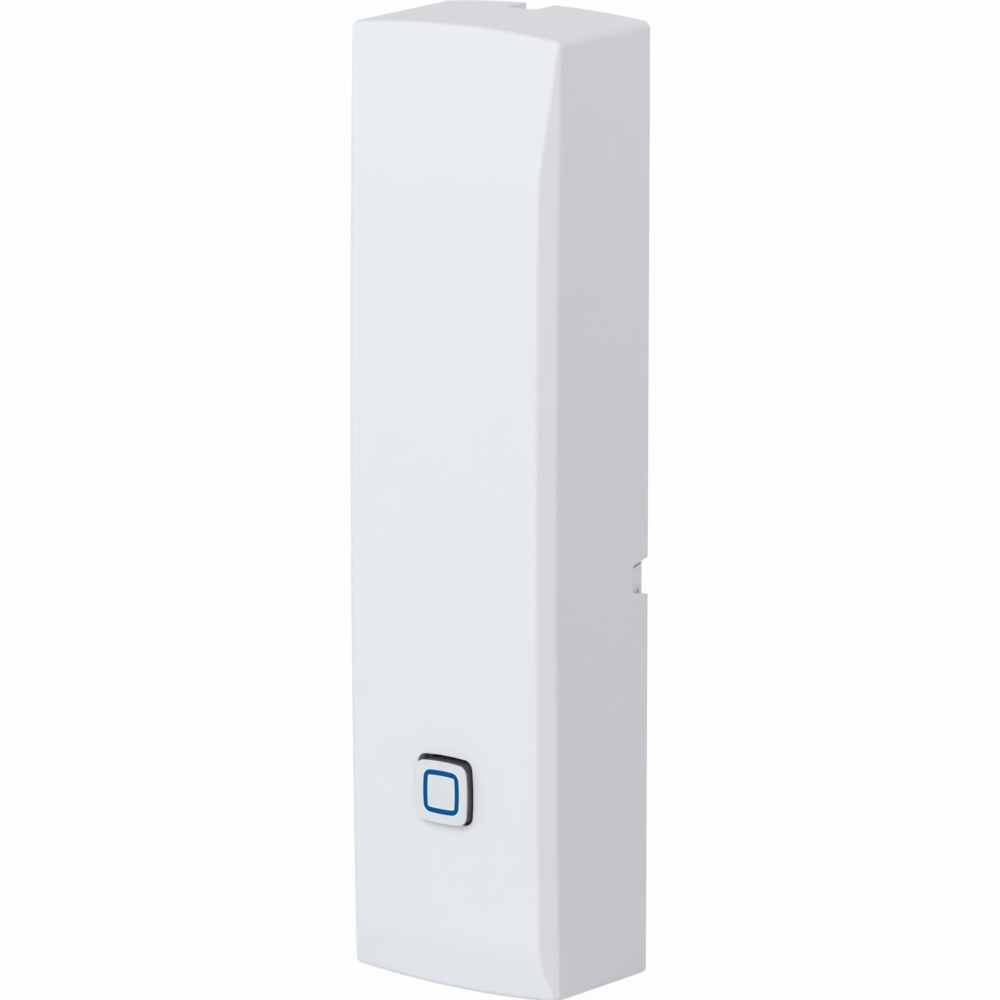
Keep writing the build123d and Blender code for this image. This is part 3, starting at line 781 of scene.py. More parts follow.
# ---------------------------------------------------------------- cells and contacts
class SENSOR_OT_cells(bpy.types.Operator):
    """The two AAA cells"""

    bl_idname = "sensor.cells"
    bl_label = "Cells"

    def execute(self, context):
        settings = context.scene.sensor_cells
        materials = [
            # Drawn and nickel-plated steel: bright, with fine rings from drawing.
            worked_metal("steel_nickel_plated", "C9C6BF", 0.22, 0.25 * MM, (1, 1, 1)),
            # Printed heat-shrink film: smooth and glossy, with very slight waves.
            moulded_plastic("shrink_film_graphite", settings.film, 0.2, 1.5 * MM, 0.01 * MM, 0.03, coat=0.6),
            # The same film in the pale silver of its band: just as glossy.
            moulded_plastic("shrink_film_silver", settings.band, 0.24, 1.5 * MM, 0.01 * MM, 0.03, coat=0.6),
            # Pressed paper: matt and slightly fibrous.
            moulded_plastic("pressed_paper", "D8D2C0", 0.85, 0.15 * MM, 0.01 * MM, 0.05, 0.4 * MM),
            # Screen-printing ink on the film: flat white.
            moulded_plastic("printing_ink_white", "E8E8E4", 0.4, 0.3 * MM, 0.002 * MM),
        ]
        self.cell("battery_left", True, materials)
        self.cell("battery_right", False, materials)
        return {"FINISHED"}

    def cell(self, node, nub_up, materials):
        """One cell: the steel can, the shrunk sleeve with its curled ends, the washer and the nub."""
        space = room(node)
        x, depth, _ = space.middle
        radius = space.size[0] / 2
        flat, tip = space.z if nub_up else space.z[::-1]
        way = 1 if nub_up else -1
        nub = 0.8
        top = abs(tip - flat) - nub
        steel, film, band, paper, ink = range(5)
        # From the flat end to the tip of the nub: what shows, and (radius, level) pairs.
        profile = (
            (steel, (0.6, 0.0), (3.9, 0.0), (4.2, 0.22), (4.4, 0.22)),
            (film, (4.45, 0.1), (4.7, 0.03), (5.0, 0.1), (5.2, 0.32), (radius, 0.6), (radius, top - 9.0)),
            (band, (radius, top - 3.2)),
            (film, (radius, top - 0.6), (5.2, top - 0.32), (5.0, top - 0.1), (4.7, top - 0.03)),
            (film, (4.5, top - 0.14)),
            (paper, (4.4, top - 0.26), (3.1, top - 0.26)),
            (steel, (2.9, top - 0.2), (2.2, top - 0.12), (1.95, top + 0.08), (1.9, top + 0.55)),
            (steel, (1.75, top + 0.73), (1.4, top + nub), (0.4, top + nub)),
        )
        levels = [(reach, flat + way * level) for _, *spots in profile for reach, level in spots]
        paints = [paint for paint, *spots in profile for _ in spots]
        shape = Shape()
        shape.turned(levels, x, depth, "xdz", 56, paints)
        shape.paint = ink
        plus = flat + way * (top - 6.1)
        minus = flat + way * 5.0
        for middle, height, turn in ((plus, 0.6, 22), (plus, 3.0, 4.4), (minus, 0.6, 22)):
            arc = []
            for reach, sign in ((radius + 0.015, 1), (radius - 0.02, -1)):
                for i in range(9):
                    angle = math.radians(90 + sign * turn * (i / 4 - 1) * 0.75)
                    arc.append((x + reach * math.cos(angle), depth + reach * math.sin(angle)))
            shape.slab(arc, middle - height / 2, middle + height / 2, order="xdz")
        shape.piece(node + "_cell", "battery_wrap", materials, node)


class SENSOR_OT_contacts(bpy.types.Operator):
    """Contact plates and springs of the cells"""

    bl_idname = "sensor.contacts"
    bl_label = "Contacts"

    def execute(self, context):
        settings = context.scene.sensor_cells
        # Rolled spring steel with a nickel plating: soft shine along the rolling direction.
        self.plate = worked_metal("spring_steel_nickel_plated", "BDBAB2", 0.28, 0.2 * MM, (1, 0.1, 1))
        # Drawn spring wire, nickel plated: brighter and smoother than the plates.
        self.wire = worked_metal("spring_wire_nickel_plated", "C6C4BE", 0.2, 0.1 * MM, (1, 1, 1))
        self.bridge()
        self.low_contact("contact_negative", "battery_left", False)
        self.low_contact("contact_positive", "battery_right", True)
        self.spring("spring_lower", "battery_left", 1, settings.wire / MM / 2)
        self.spring("spring_upper", "battery_right", -1, settings.wire / MM / 2)
        return {"FINISHED"}

    def bridge(self):
        """The plate that joins both cells, with a dome for the nub and stiffening beads."""
        space = room("contact_bridge")
        x, depth, _ = space.middle
        low, high = space.z
        shape = Shape()
        shape.slab(oblong(x, depth, space.size[0], space.size[1], 1.1), high, low + 0.1, 0.05, "xdz")
        dome = [(2.0, low + 0.15), (1.7, low + 0.07), (1.2, low + 0.01), (0.4, low)]
        seat = [(3.9, low + 0.15), (3.8, low + 0.03), (3.6, low)]
        for cell, profile in (("battery_left", dome), ("battery_right", seat)):
            shape.turned(profile, *room(cell).middle[:2], "xdz")
        for offset in (-3.2, 3.2):
            shape.slab(oblong(x, depth + offset, 5.0, 0.6, 0.25), low + 0.15, low, 0.09, "xdz")
        shape.piece("bridge_plate", "contact_metal", [self.plate], "contact_bridge")

    def low_contact(self, node, cell, domed):
        """A plate under one cell, with a strap that folds over the end wall to a foot on the board."""
        space = room(node)
        x = space.middle[0]
        back, front = space.depth
        foot = space.z[0]
        face = board_face()
        plate_low = room("contact_negative").z[1] - 0.4
        sheet = 0.3
        shape = Shape()
        outline = oblong(x, (back + front) / 2, space.size[0], front - back, 1.0)
        shape.slab(outline, plate_low, plate_low + sheet, 0.05, "xdz")
        if domed:
            top = space.z[1]
            dome = [(2.0, top - 0.15), (1.6, top - 0.04), (0.6, top)]
            shape.turned(dome, *room(cell).middle[:2], "xdz")
        middle = plate_low + sheet / 2
        path = [(front - 2.0, middle), (front - 0.15, middle), (front - 0.15, foot + 0.15)]
        path += [(face + 0.17, foot + 0.15), (face + 0.17, foot - 1.1)]
        shape.strip(eased(path, 0.45), sheet, x - 1.2, x + 1.2)
        shape.piece(node + "_plate", "contact_metal", [self.plate], node)

    def spring(self, node, cell, way, wire):
        """A conical wire spring: a flat wide turn on the plate, and a narrow one on the cell."""
        space = room(node)
        x, depth, _ = room(cell).middle
        wide = space.size[0] / 2 - wire
        narrow = wide - 1.1
        turns, steps = 3.6, 22
        flat, climb = 0.2, 0.62  # shares of the wire in the wide flat turn, and in the climb
        low, high = space.z
        seat, rest = (low + wire, high - wire) if way > 0 else (high - wire, low + wire)
        points = []
        count = int(turns * steps)
        for i in range(count + 1):
            share = min(1.0, max(0.0, (i / count - flat) / climb))
            rise = share * share * (3 - 2 * share)
            angle = 2 * math.pi * i / steps
            reach = wide - (wide - narrow) * rise
            level = seat + (rest - seat) * rise
            points.append((x + reach * math.cos(angle), depth + reach * math.sin(angle), level))
        shape = Shape()
        shape.wire(points, wire)
        shape.piece(node + "_coil", "contact_metal", [self.wire], node)


# ---------------------------------------------------------------- circuit board
# Routes of the traces on the board's face: width in trace widths, then (x, z) points in millimetres.
TRACES = (
    (1, (-4.9, -19.85), (-4.62, -19.55), (-4.62, -18.25), (-4.35, -18.0), (-3.9, -18.0)),
    (1, (-4.9, -20.35), (-4.65, -20.35), (-4.25, -19.95), (-4.1, -19.8)),
    (1, (-7.85, -19.1), (-7.85, -18.7), (-8.9, -17.9), (-8.9, -17.2)),
    (1, (-7.35, -19.1), (-7.35, -18.7), (-6.3, -17.9), (-6.3, -17.2)),
    (1, (-9.35, -19.1), (-9.35, -18.5), (-10.0, -17.85), (-10.0, -13.2), (-9.4, -12.6), (-8.5, -12.6)),
    (1, (-9.35, -24.1), (-9.35, -25.6), (-9.1, -25.9), (-9.1, -27.2)),
    (1, (-7.85, -24.1), (-7.85, -25.9), (-8.2, -26.3), (-8.2, -33.2)),
    (1, (-6.85, -24.1), (-6.85, -26.4), (-6.6, -26.7), (-6.6, -27.2)),
    (1, (-10.1, -21.35), (-10.75, -21.35), (-11.3, -21.9), (-11.3, -36.0)),
    (1, (-10.1, -21.85), (-10.45, -21.85), (-10.85, -22.25), (-10.85, -25.7)),
    (1, (-6.6, -31.4), (-6.6, -33.6), (-6.3, -33.9), (-6.3, -40.6)),
    (1, (-10.7, -33.6), (-10.7, -36.0)),
    (2, (8.5, -9.0), (9.4, -9.15)),
    (3, (5.4, -5.0), (5.4, -6.5)),
    (3, (11.1, -9.0), (11.1, -27.4), (10.4, -28.1), (10.3, -28.4)),
    (3, (-5.4, -5.0), (-5.4, -7.2), (-6.0, -7.8), (-10.2, -7.8), (-11.0, -8.6), (-11.0, -16.0),
     (-10.7, -16.7)),
    (2, (-8.4, -10.6), (-9.2, -10.6), (-9.8, -10.0), (-9.8, -9.4)),
    (2, (7.35, -30.5), (7.35, -32.0)),
    (2, (10.3, -29.4), (10.5, -29.4), (10.8, -29.7), (10.8, -31.4), (10.5, -31.8)),
    (2, (7.9, -26.4), (7.9, -27.3), (7.5, -27.7), (7.35, -28.3)),
    (3, (10.4, -34.6), (10.4, -35.3), (11.1, -36.0), (11.1, -44.6), (9.8, -45.9), (4.0, -45.9)),
    (2, (8.3, -36.8), (8.9, -36.8)),
    (1, (6.6, -37.0), (6.6, -37.9)),
    (1, (2.0, -47.6), (2.0, -49.0), (1.7, -49.3), (-4.6, -49.3)),
    (1, (4.54, -47.6), (4.54, -49.4), (4.24, -49.7), (-4.6, -49.7)),
    (1, (-0.54, -47.6), (-0.54, -48.6), (-0.84, -48.9), (-4.6, -48.9)),
)
VIAS = ((-10.85, -25.8), (-9.8, -9.3), (4.0, -45.9), (-10.6, -17.0), (5.4, -6.6), (11.1, -8.9))
CLEARANCE = 0.09  # bare laminate on each side of a trace
PORT = [(-0.54 + 2.54 * i, -47.6) for i in range(4)]  # the plated holes of the programming port
SUNK = 0.02  # how far flat things on the board reach into it
PAD = 0.06  # how far a bare pad stands up


def board_face():
    """Depth of the board's face."""
    return room("circuit_board").depth[1]


class SENSOR_OT_board(bpy.types.Operator):
    """The circuit board with its traces, pads and printed frames"""

    bl_idname = "sensor.board"
    bl_label = "Circuit board"

    def execute(self, context):
        settings = context.scene.sensor_board
        # Solder mask cured over copper: the lighter green of the planes and tracks.
        mask = solder_mask("solder_mask_green_over_copper", settings.mask)
        # The same over bare laminate: darker, and a little less glossy.
        gap = solder_mask("solder_mask_green_over_laminate", settings.gap, 0.36)
        # Tin-silver solder, hand and oven soldered: bright with soft unevenness.
        solder = worked_metal("tin_solder", "C4C6C8", 0.24, 0.3 * MM, (1, 1, 1))
        # Epoxy printing ink: flat white and slightly raised.
        ink = moulded_plastic("epoxy_ink_white", "E6E8E2", 0.55, 0.2 * MM, 0.003 * MM)
        dress("circuit_board", mask, 0.03 * MM)
        self.face = board_face()
        self.traces(settings, gap, mask)
        self.pads(solder)
        self.prints(ink)
        return {"FINISHED"}

    def traces(self, settings, gap, mask):
        """Copper tracks that stand up a little under the mask, each in its cleared channel."""
        shape = Shape()
        for wide, *path in TRACES:
            width = wide * settings.trace / MM
            shape.paint = 0
            shape.strip(path, width + 2 * CLEARANCE, self.face - SUNK, self.face + 0.012, "xzd")
            shape.paint = 1
            shape.strip(path, width, self.face - SUNK, self.face + 0.035, "xzd")
        shape.piece("board_traces", "board_green", [gap, mask])

    def pads(self, solder):
        """Tinned pads, plated holes and the solder at every foot."""
        shape = Shape()
        low, high = self.face - SUNK, self.face + PAD
        for spots, outer, inner, steps in ((VIAS, 0.28, 0.12, 20), (PORT, 0.85, 0.5, 24)):
            for spot in spots:
                shape.ring(disc(*spot, outer, steps), disc(*spot, inner, steps), low, high)
        wire = room("antenna")
        cone = [(0.58, low), (0.58, high)]
        cone += [(radius, self.face + rise) for radius, rise in ((0.5, 0.2), (0.4, 0.55), (0.34, 0.7))]
        shape.turned(cone, wire.middle[0], wire.z[1] - wire.size[0] / 2, steps=28)
        for node in ("contact_negative", "contact_positive"):
            space = room(node)
            shape.slab(oblong(space.middle[0], space.z[0] - 0.4, 3.0, 2.4, 0.5), low, self.face + 0.16, 0.14)
        shape.piece("board_solder", "screw_steel", [solder])

    def prints(self, ink):
        """Printed frames around the parts, and the mark at each first terminal."""
        shape = Shape()
        low, high = self.face - SUNK / 2, self.face + 0.05
        line = 0.13
        for node, margin in (("inductor", 0.5), ("terminal_body", 0.5), ("button_guide", 0.6)):
            x, z, wide, tall = room(node).plan
            outer = oblong(x, z, wide + margin, tall + margin, 0.3)
            shape.ring(outer, beside(outer, line, closed=True), low, high)
        chip = room("microcontroller")
        for u, v in ((-1, 1), (-1, -1), (1, -1)):
            x, z = chip.middle[0] + u * 3.0, chip.middle[2] + v * 3.0
            shape.strip([(x, z - v * 0.7), (x, z), (x - u * 0.7, z)], line, low, high, "xzd")
        shape.turned([(0.22, low), (0.22, high)], chip.x[0] - 0.35, chip.z[1] + 0.9, steps=16)
        can = room("buffer_capacitor")
        x, z, arm, half = can.x[0] - 1.2, can.z[1] - 1.2, 0.6, 0.12
        quarter = ((half, half), (half, arm), (-half, arm), (-half, half), (-arm, half), (-arm, -half))
        plus = [(x + u, z + v) for u, v in quarter] + [(x - u, z - v) for u, v in quarter]
        shape.slab(plus, low, high)
        for x, z in PORT:
            outer = oblong(x, z, 2.3, 2.3, 0.5)
            shape.ring(outer, beside(outer, 0.12, closed=True), low, high)
        shape.piece("board_print", "board_green", [ink])


class SENSOR_OT_radio(bpy.types.Operator):
    """The radio module, its shield can and the antenna"""

    bl_idname = "sensor.radio"
    bl_label = "Radio"

    def execute(self, context):
        # Darker green solder mask, printed over solid copper: glossy and almost black-green.
        mask = solder_mask("solder_mask_dark_green", "123A2A", 0.3)
        # Gold flash on nickel: smooth, warm and bright.
        gold = worked_metal("immersion_gold", "D9B36A", 0.25, 0.2 * MM, (1, 1, 1))
        # Tinned sheet steel, pressed: bright with a faint rolling direction.
        tin = worked_metal("sheet_steel_tinned", "C2C3C4", 0.26, 0.25 * MM, (1, 1, 0.08))
        # Painted shade: a flat matt black for the discs and squares on the can's lid that stand for its
        # holes and slits and the shade inside them.
        hole = moulded_plastic("epoxy_black_in_shade", "101214", 0.7, 0.2 * MM, 0.001 * MM)
        # Copper wire with a clear amber enamel: reads as warm glossy copper.
        copper = worked_metal("copper_wire_enamelled", "B4693A", 0.24, 0.15 * MM, (1, 1, 1), 0.1)
        # Sintered titanate ceramic: tan, matt and slightly speckled.
        tan = moulded_plastic("ceramic_tan_sintered", "A58A66", 0.5, 0.1 * MM, 0.004 * MM, 0.06, 0.3 * MM)
        dress("radio_module", mask)
        dress("antenna", copper)
        self.module(gold, tan)
        self.shield(tin, hole)
        return {"FINISHED"}

    def module(self, gold, tan):
        """The gold contacts round the cut edge holes, and three small parts beside the can."""
        space = room("radio_module")
        low = space.z[0]
        back, top = space.depth
        contacts, pitch = 7, 1.8
        shape = Shape()
        for side in (-1, 1):
            edge = space.middle[0] + side * space.size[0] / 2
            for i in range(contacts):
                z = low + 1.6 + pitch * i
                shape.slab(oblong(edge - side * 0.62, z, 0.5, 0.9, 0.12), top - SUNK, top + 0.03, 0.01)
                shape.slab(oblong(edge + side * 0.12, z, 0.9, 0.7, 0.26), back - SUNK, back + 0.3, 0.22)
        chips = (-1.2, 1.0, 4.4)
        shape.paint = 1
        for x in chips:
            shape.slab(oblong(x, low + 1.2, 0.55, 0.5, 0.05), top, top + 0.45, 0.04)
        shape.paint = 0
        for x in chips:
            for side in (-0.4, 0.4):
                shape.slab(oblong(x + side, low + 1.2, 0.27, 0.54, 0.06), top, top + 0.47, 0.05)
        shape.piece("radio_contacts", "shield_metal", [gold, tan])

    def shield(self, tin, hole):
        """A pressed can with rounded edges and locking dimples; its slit corners and grid of holes are
        painted shade, flat black discs and squares on its lid.
        """
        space = room("radio_shield")
        x, z, wide, tall = space.plan
        back, front = space.depth
        shape = Shape()
        shape.slab(oblong(x, z, wide, tall, 0.45), back, front, 0.28)
        shape.slab(oblong(x, z, wide + 0.06, tall - 2.2, 0.05), back, back + 0.75, 0.05)
        shape.slab(oblong(x, z, wide - 2.2, tall + 0.06, 0.05), back, back + 0.75, 0.05)
        # Painted shade: the holes and corner slits are flat black marks on the lid, not openings.
        shape.paint = 1
        low, high = front - 0.05, front + 0.004
        grid = (0.0, 1.6, 3.2, 4.8)
        for across in grid:
            for up in grid:
                shape.turned([(0.28, low), (0.28, high)], x - 2.4 + across, z - 2.4 + up, steps=20)
        for u in (-1, 1):
            for v in (-1, 1):
                corner = (x + u * (wide / 2 - 0.42), z + v * (tall / 2 - 0.42))
                shape.slab(oblong(*corner, 0.22, 0.22, 0.1), low, high)
        shape.piece("shield_can", "shield_metal", [tin, hole], "radio_shield")


class SENSOR_OT_chips(bpy.types.Operator):
    """The small parts on the board"""

    bl_idname = "sensor.chips"
    bl_label = "Small parts"

    def execute(self, context):
        settings = context.scene.sensor_board
        self.face = board_face()
        # Black epoxy, transfer moulded: matt with a fine even grain.
        self.epoxy = moulded_plastic("epoxy_black_moulded", "1B1C1E", 0.55, 0.12 * MM, 0.003 * MM, 0.06)
        # Tin plating on copper: bright and nearly smooth.
        self.tin = worked_metal("tin_plated_copper", "C6C8CA", 0.25, 0.15 * MM, (1, 1, 1))
        self.controller(settings.balls)
        self.crystal()
        self.converter()
        self.inductor()
        self.capacitor()
        self.small_parts()
        return {"FINISHED"}

    def controller(self, count):
        """A square chip with flat terminals at its lower rim and a dot at the first one."""
        space = room("microcontroller")
        x, z, wide, _ = space.plan
        half = wide / 2
        face, top = self.face, space.depth[1]
        pitch = 0.5
        # Epoxy burnt matt by a laser: a lighter grey spot.
        dot = moulded_plastic("epoxy_black_lasered", "4A4B4D", 0.6, 0.1 * MM, 0.002 * MM)
        shape = Shape()
        shape.slab(oblong(x, z, wide - 0.06, wide - 0.06, 0.1), face + 0.02, top, 0.06)
        shape.paint = 1
        for i in range(count):
            along = (i - (count - 1) / 2) * pitch
            for u, v in ((1, 0), (-1, 0), (0, 1), (0, -1)):
                spot = (x + u * (half - 0.05) + v * along, z + v * (half - 0.05) + u * along)
                outer = (spot[0] + u * 0.2, spot[1] + v * 0.2)
                size = (0.5, 0.26) if u else (0.26, 0.5)
                shape.slab(oblong(*spot, *size, 0.05), face, face + 0.24, 0.03)
                shape.slab(oblong(*outer, *size, 0.1), face, face + 0.07, 0.06)
        shape.paint = 2
        shape.turned([(0.3, top - 0.02), (0.3, top + 0.002)], x - 1.8, z + 1.8, steps=24)
        shape.piece("controller_chip", "chip_black", [self.epoxy, self.tin, dot], "microcontroller")

    def crystal(self):
        """A seam-welded metal lid on a ceramic base."""
        space = room("crystal")
        x, z, wide, tall = space.plan
        top = space.depth[1]
        # Rolled steel with a nickel plating: a soft shine drawn out sideways.
        lid = worked_metal("steel_lid_nickel_plated", "BFC0BE", 0.3, 0.2 * MM, (0.1, 1, 1))
        # Sintered alumina with a dark stain: brown-grey and matt.
        base = moulded_plastic("ceramic_dark_sintered", "5A5148", 0.6, 0.1 * MM, 0.003 * MM)
        shape = Shape()
        shape.paint = 1
        shape.slab(oblong(x, z, wide, tall, 0.35), self.face, self.face + 0.4)
        shape.paint = 0
        shape.slab(oblong(x, z, wide - 0.12, tall - 0.12, 0.35), self.face + 0.4, self.face + 0.52, 0.05)
        shape.slab(oblong(x, z, wide - 0.42, tall - 0.42, 0.3), self.face + 0.5, top, 0.16)
        shape.piece("crystal_can", "shield_metal", [lid, base], "crystal")

    def converter(self):
        """A chip with three gull-wing legs a side."""
        space = room("voltage_converter")
        x, z, span, tall = space.plan
        body, pitch, foot = 1.7, 0.95, self.face + 0.09
        back, front = self.face + 0.12, space.depth[1]
        waist = (back + front) / 2
        outline = oblong(x, z, body, tall, 0.14)
        lower, upper = beside(outline, 0.08, closed=True), beside(outline, 0.1, closed=True)
        shape = Shape()
        shape.loft([(lower, back), (outline, waist), (upper, front)])
        shape.paint = 1
        for side in (-1, 1):
            reach = x + side * (body / 2 - 0.05)
            path = [(reach, waist), (reach + side * 0.25, waist), (reach + side * 0.34, foot)]
            path.append((x + side * span / 2, foot))
            for i in (-1, 0, 1):
                level = z + i * pitch
                shape.strip(eased(path, 0.07), 0.12, level - 0.18, level + 0.18, "xdz")
        shape.piece("converter_chip", "chip_black", [self.epoxy, self.tin], "voltage_converter")

    def inductor(self):
        """A ferrite drum with its copper winding showing between the two flanges."""
        space = room("inductor")
        x, z, wide, _ = space.plan
        face, top = self.face, space.depth[1]
        # Sintered ferrite: dark grey, matt and slightly gritty.
        ferrite = moulded_plastic("ferrite_sintered", "35363A", 0.62, 0.12 * MM, 0.006 * MM, 0.1, 0.5 * MM)
        # Enamelled copper wire, wound in layers: dark glossy copper.
        copper = worked_metal("copper_winding_enamelled", "A85A30", 0.26, 0.1 * MM, (1, 1, 1), 0.1)
        shape = Shape()
        shape.slab(oblong(x, z, wide, wide, 0.75, 2), face + 0.05, face + 0.5, 0.05)
        shape.slab(oblong(x, z, wide - 0.1, wide - 0.1, 1.0, 3), top - 0.45, top, 0.1)
        shape.paint = 1
        turns = [(1.3, face + 0.45)]
        for i in range(5):
            level = face + 0.55 + i * 0.19
            turns += [(1.62, level - 0.05), (1.7, level), (1.62, level + 0.05)]
        turns.append((1.3, top - 0.4))
        shape.turned(turns, x, z, steps=40)
        shape.paint = 2
        for side in (-1, 1):
            shape.slab(oblong(x + side * (wide / 2 - 0.35), z, 0.9, 2.0, 0.15), face, face + 0.3, 0.1)
        shape.piece("inductor_coil", "chip_black", [ferrite, copper, self.tin], "inductor")

    def capacitor(self):
        """An aluminium can on a black foot: a rolled groove, a rounded rim and a dark polarity mark."""
        space = room("buffer_capacitor")
        x, z, wide, _ = space.plan
        back, front = space.depth
        radius = 3.0
        # Drawn aluminium with a clear coating: soft satin shine.
        can = worked_metal("aluminium_drawn", "C9CBCD", 0.3, 0.3 * MM, (1, 1, 1), 0.04)
        # Black nylon, moulded: even and satin.
        nylon = moulded_plastic("nylon_black_moulded", "17181A", 0.5, 0.15 * MM, 0.003 * MM)
        # Printing ink on the can's top: flat blue-black.
        ink = moulded_plastic("printing_ink_black", "1C1D22", 0.5, 0.2 * MM, 0.001 * MM)
        shape = Shape()
        profile = [(2.6, back + 0.7), (2.9, back + 0.72), (radius, back + 0.85), (radius, back + 1.15)]
        profile += [(2.8, back + 1.3), (2.8, back + 1.42), (radius, back + 1.6), (radius, front - 0.4)]
        profile += [(2.96, front - 0.2), (2.8, front - 0.06), (2.6, front)]
        profile += [(2.4, front - 0.04), (0.5, front - 0.04)]
        shape.turned(profile, x, z, steps=56)
        shape.paint = 1
        half = wide / 2
        cut = 0.9
        foot = [(x + half, z - half), (x + half, z + half - cut), (x + half - cut, z + half)]
        foot += [(x - half + cut, z + half), (x - half, z + half - cut), (x - half, z - half)]
        shape.slab(foot, back + 0.05, back + 0.8, 0.08)
        shape.paint = 2
        angles = [math.radians(angle) for angle in range(210, 331, 10)]
        mark = [(x + 2.3 * math.cos(angle), z + 2.3 * math.sin(angle)) for angle in angles]
        shape.slab(mark, front - 0.05, front - 0.028)
        shape.paint = 3
        for side in (-1, 1):
            shape.slab(oblong(x, z + side * (half + 0.05), 0.7, 0.9, 0.1), back, back + 0.2, 0.08)
        materials = [can, nylon, ink, self.tin]
        shape.piece("capacitor_can", "can_aluminium", materials, "buffer_capacitor")

    def small_parts(self):
        """Capacitors and resistors: a ceramic body between two tinned ends with solder at their feet."""
        # Fired titanate ceramic: tan, matt and slightly speckled.
        tan = moulded_plastic("ceramic_tan_fired", "A2825C", 0.5, 0.1 * MM, 0.004 * MM, 0.06, 0.3 * MM)
        # Sintered alumina: off-white and matt.
        white = moulded_plastic("alumina_sintered", "DCDCD6", 0.6, 0.1 * MM, 0.003 * MM)
        # Black glass glaze over the resistor film: smooth and glossy.
        glaze = moulded_plastic("glass_glaze_black", "1E1F22", 0.3, 0.2 * MM, 0.002 * MM, coat=0.4)
        kinds = (
            ("chip_capacitors", "capacitor_chips", "chip_ceramic", tan),
            ("chip_resistors", "resistor_chips", "chip_black", white),
        )
        face = self.face
        for node, name, slot, body in kinds:
            shape = Shape()
            for space in rooms(node):
                x, z, wide, tall = space.plan
                top = space.depth[1]
                shape.paint = 0
                shape.slab(oblong(x, z, wide - 0.3, tall - 0.05, 0.06), face + 0.03, top - 0.03, 0.04)
                if node == "chip_resistors":
                    shape.paint = 2
                    shape.slab(oblong(x, z, wide - 0.6, tall - 0.1, 0.04), top - 0.04, top, 0.03)
                shape.paint = 1
                for side in (-1, 1):
                    end = x + side * (wide / 2 - 0.16)
                    foot = end + side * 0.22
                    shape.slab(oblong(end, z, 0.34, tall, 0.09), face, top, 0.07)
                    shape.slab(oblong(foot, z, 0.5, tall + 0.15, 0.24), face, face + 0.24, 0.2)
            shape.piece(name, slot, [body, self.tin, glaze], node)


# ---------------------------------------------------------------- switches, screws and terminal
class SENSOR_OT_switches(bpy.types.Operator):
    """Push switch, button guide, lamps and cover switch"""

    bl_idname = "sensor.switches"
    bl_label = "Switches"

    def execute(self, context):
        # Black nylon, moulded: dark with a soft sheen on its worn edges.
        nylon = moulded_plastic("nylon_black_glass_filled", "202124", 0.48, 0.15 * MM, 0.004 * MM, 0.05)
        # Natural acetal: creamy, slightly waxy.
        acetal = moulded_plastic("acetal_natural", "D6CFC0", 0.35, 0.3 * MM, 0.002 * MM, 0.015)
        # Natural nylon, moulded: milky white and satin.
        guide = moulded_plastic("nylon_natural", "D9D8D2", 0.45, 0.25 * MM, 0.003 * MM, 0.015)
        # Stainless spring sheet, stamped: clean grey shine.
        steel = worked_metal("stainless_sheet_stamped", "B9BABB", 0.27, 0.2 * MM, (1, 1, 0.1))
        dress("switch_body", nylon, 0.08 * MM)
        dress("switch_plate", steel, 0.04 * MM)
        dress("switch_stem", nylon)
        dress("button_guide", guide, 0.1 * MM)
        dress("tamper_body", nylon, 0.1 * MM)
        dress("tamper_plunger", acetal)
        self.tamper(steel)
        self.lamps()
        return {"FINISHED"}

    def tamper(self, steel):
        """The bent legs of the cover switch, and the steel clip over its body."""
        space = room("tamper_body")
        x, z, wide, _ = space.plan
        back, front = space.depth
        bend = back + 0.9
        shape = Shape()
        for side in (-1, 1):
            edge = x + side * wide / 2
            leg = edge + side * 0.1
            path = eased([(edge - side * 0.2, bend), (leg, bend), (leg, back)], 0.08)
            for level in (z - 1.2, z + 1.2):
                shape.strip(path, 0.16, level - 0.3, level + 0.3, "xdz")
        outer = oblong(x, z, wide - 0.5, wide - 0.5, 0.4)
        shape.ring(outer, disc(x, z, 1.25, len(outer)), front - 0.02, front + 0.12)
        shape.piece("tamper_clip", "shield_metal", [steel])

    def lamps(self):
        """Small lamps: a white frame, a clear yellowish filling and a tinned end each."""
        # White polyamide, moulded: bright and satin.
        frame_white = moulded_plastic("polyamide_white_moulded", "E4E4E0", 0.45, 0.2 * MM, 0.002 * MM)
        # Clear silicone over the phosphor: glossy and pale yellow.
        lens = moulded_plastic("silicone_phosphor_yellow", "D8CF8A", 0.25, 0.3 * MM, 0.002 * MM, coat=0.5)
        # Tin plating on the lead frame: bright and nearly smooth.
        tin = worked_metal("tin_plated_frame", "C6C8CA", 0.25, 0.15 * MM, (1, 1, 1))
        shape = Shape()
        for space in rooms("status_leds"):
            x, z, wide, tall = space.plan
            back, front = space.depth
            outer = oblong(x, z, wide, tall - 0.3, 0.08)
            inner = oblong(x, z, wide - 0.3, tall - 0.7, 0.08)
            shape.paint = 0
            shape.ring(outer, inner, back, front)
            shape.paint = 1
            shape.slab(beside(inner, 0.01, closed=True), back, front - 0.08, 0.05)
            shape.paint = 2
            for side in (-1, 1):
                end = z + side * (tall / 2 - 0.16)
                shape.slab(oblong(x, end, wide - 0.15, 0.32, 0.05), back, back + 0.3, 0.04)
        shape.piece("ring_lamps", "led_lens", [frame_white, lens, tin], "status_leds")


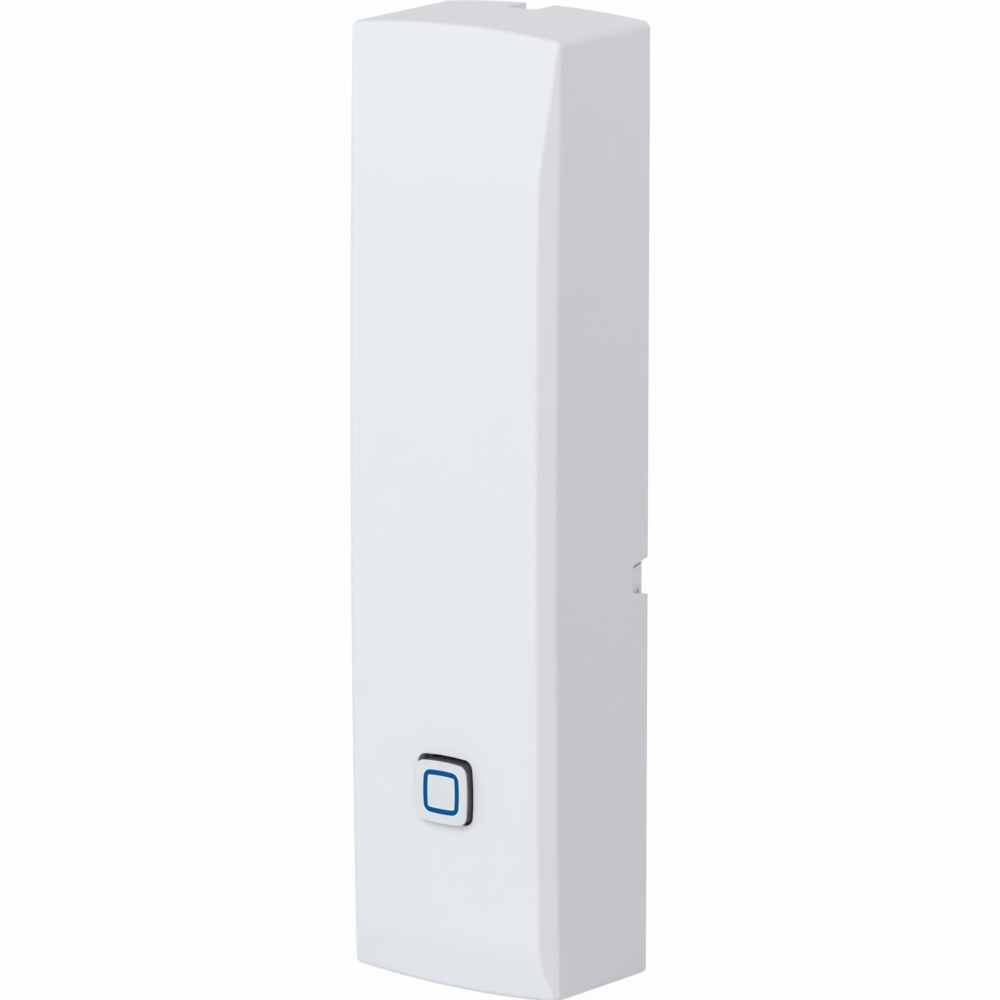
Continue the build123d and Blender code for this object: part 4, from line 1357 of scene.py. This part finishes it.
class SENSOR_OT_terminal(bpy.types.Operator):
    """Screw terminal and board screws"""

    bl_idname = "sensor.terminal"
    bl_label = "Terminal and screws"

    def execute(self, context):
        settings = context.scene.sensor_terminal
        # Green nylon, moulded: satin with faint flow marks.
        nylon = moulded_plastic("nylon_green_moulded", settings.colour, 0.42, 0.2 * MM, 0.004 * MM, 0.03)
        # Zinc-plated steel with a clear passivation: grey, slightly cloudy shine.
        zinc = worked_metal("steel_zinc_plated", "B4B7BC", 0.32, 0.2 * MM, (1, 1, 1), 0.08)
        dress("terminal_body", nylon, 0.12 * MM)
        dress("terminal_clamps", zinc, 0.05 * MM)
        self.screws(zinc)
        dress("board_screws", zinc, 0.04 * MM)
        return {"FINISHED"}

    def screws(self, zinc):
        """Slotted clamp screws: a domed head in two halves over a turned core."""
        shape = Shape()
        slot = 0.45
        for space in rooms("terminal_screws"):
            x, z, wide, _ = space.plan
            back, front = space.depth
            radius = wide / 2
            core = [(0.85, back), (0.85, front - 1.8), (radius, front - 1.8), (radius, front - 0.7)]
            shape.turned(core, x, z, steps=40)
            reach = math.asin(slot / 2 / radius)
            for side in (0, math.pi):
                arc = []
                for i in range(17):
                    angle = side + reach + (math.pi - 2 * reach) * i / 16
                    arc.append((x + radius * math.cos(angle), z + radius * math.sin(angle)))
                shape.slab(arc, front - 0.75, front, 0.15)
        shape.piece("clamp_screws", "screw_steel", [zinc], "terminal_screws")


OPERATORS = (
    SENSOR_OT_stage,
    SENSOR_OT_housing,
    SENSOR_OT_button,
    SENSOR_OT_cells,
    SENSOR_OT_contacts,
    SENSOR_OT_board,
    SENSOR_OT_radio,
    SENSOR_OT_chips,
    SENSOR_OT_switches,
    SENSOR_OT_terminal,
)


class SENSOR_PT_panel(bpy.types.Panel):
    """The sensor's operators, in the sidebar"""

    bl_label = "Contact sensor"
    bl_idname = "SENSOR_PT_panel"
    bl_space_type = "VIEW_3D"
    bl_region_type = "UI"
    bl_category = "Contact sensor"

    def draw(self, context):
        for operator in OPERATORS:
            self.layout.operator(operator.bl_idname)


SETTINGS = {
    "sensor_stage": StageSettings,
    "sensor_housing": HousingSettings,
    "sensor_button": ButtonSettings,
    "sensor_cells": CellSettings,
    "sensor_board": BoardSettings,
    "sensor_terminal": TerminalSettings,
}


def register():
    for group in SETTINGS.values():
        bpy.utils.register_class(group)
    for name, group in SETTINGS.items():
        setattr(bpy.types.Scene, name, PointerProperty(type=group))
    for cls in (*OPERATORS, SENSOR_PT_panel):
        bpy.utils.register_class(cls)


def unregister():
    for cls in (*OPERATORS, SENSOR_PT_panel):
        bpy.utils.unregister_class(cls)
    for name in SETTINGS:
        delattr(bpy.types.Scene, name)
    for group in SETTINGS.values():
        bpy.utils.unregister_class(group)


def main():
    register()
    for operator in OPERATORS:
        group, name = operator.bl_idname.split(".")
        getattr(getattr(bpy.ops, group), name)()


if __name__ == "__main__":
    main()
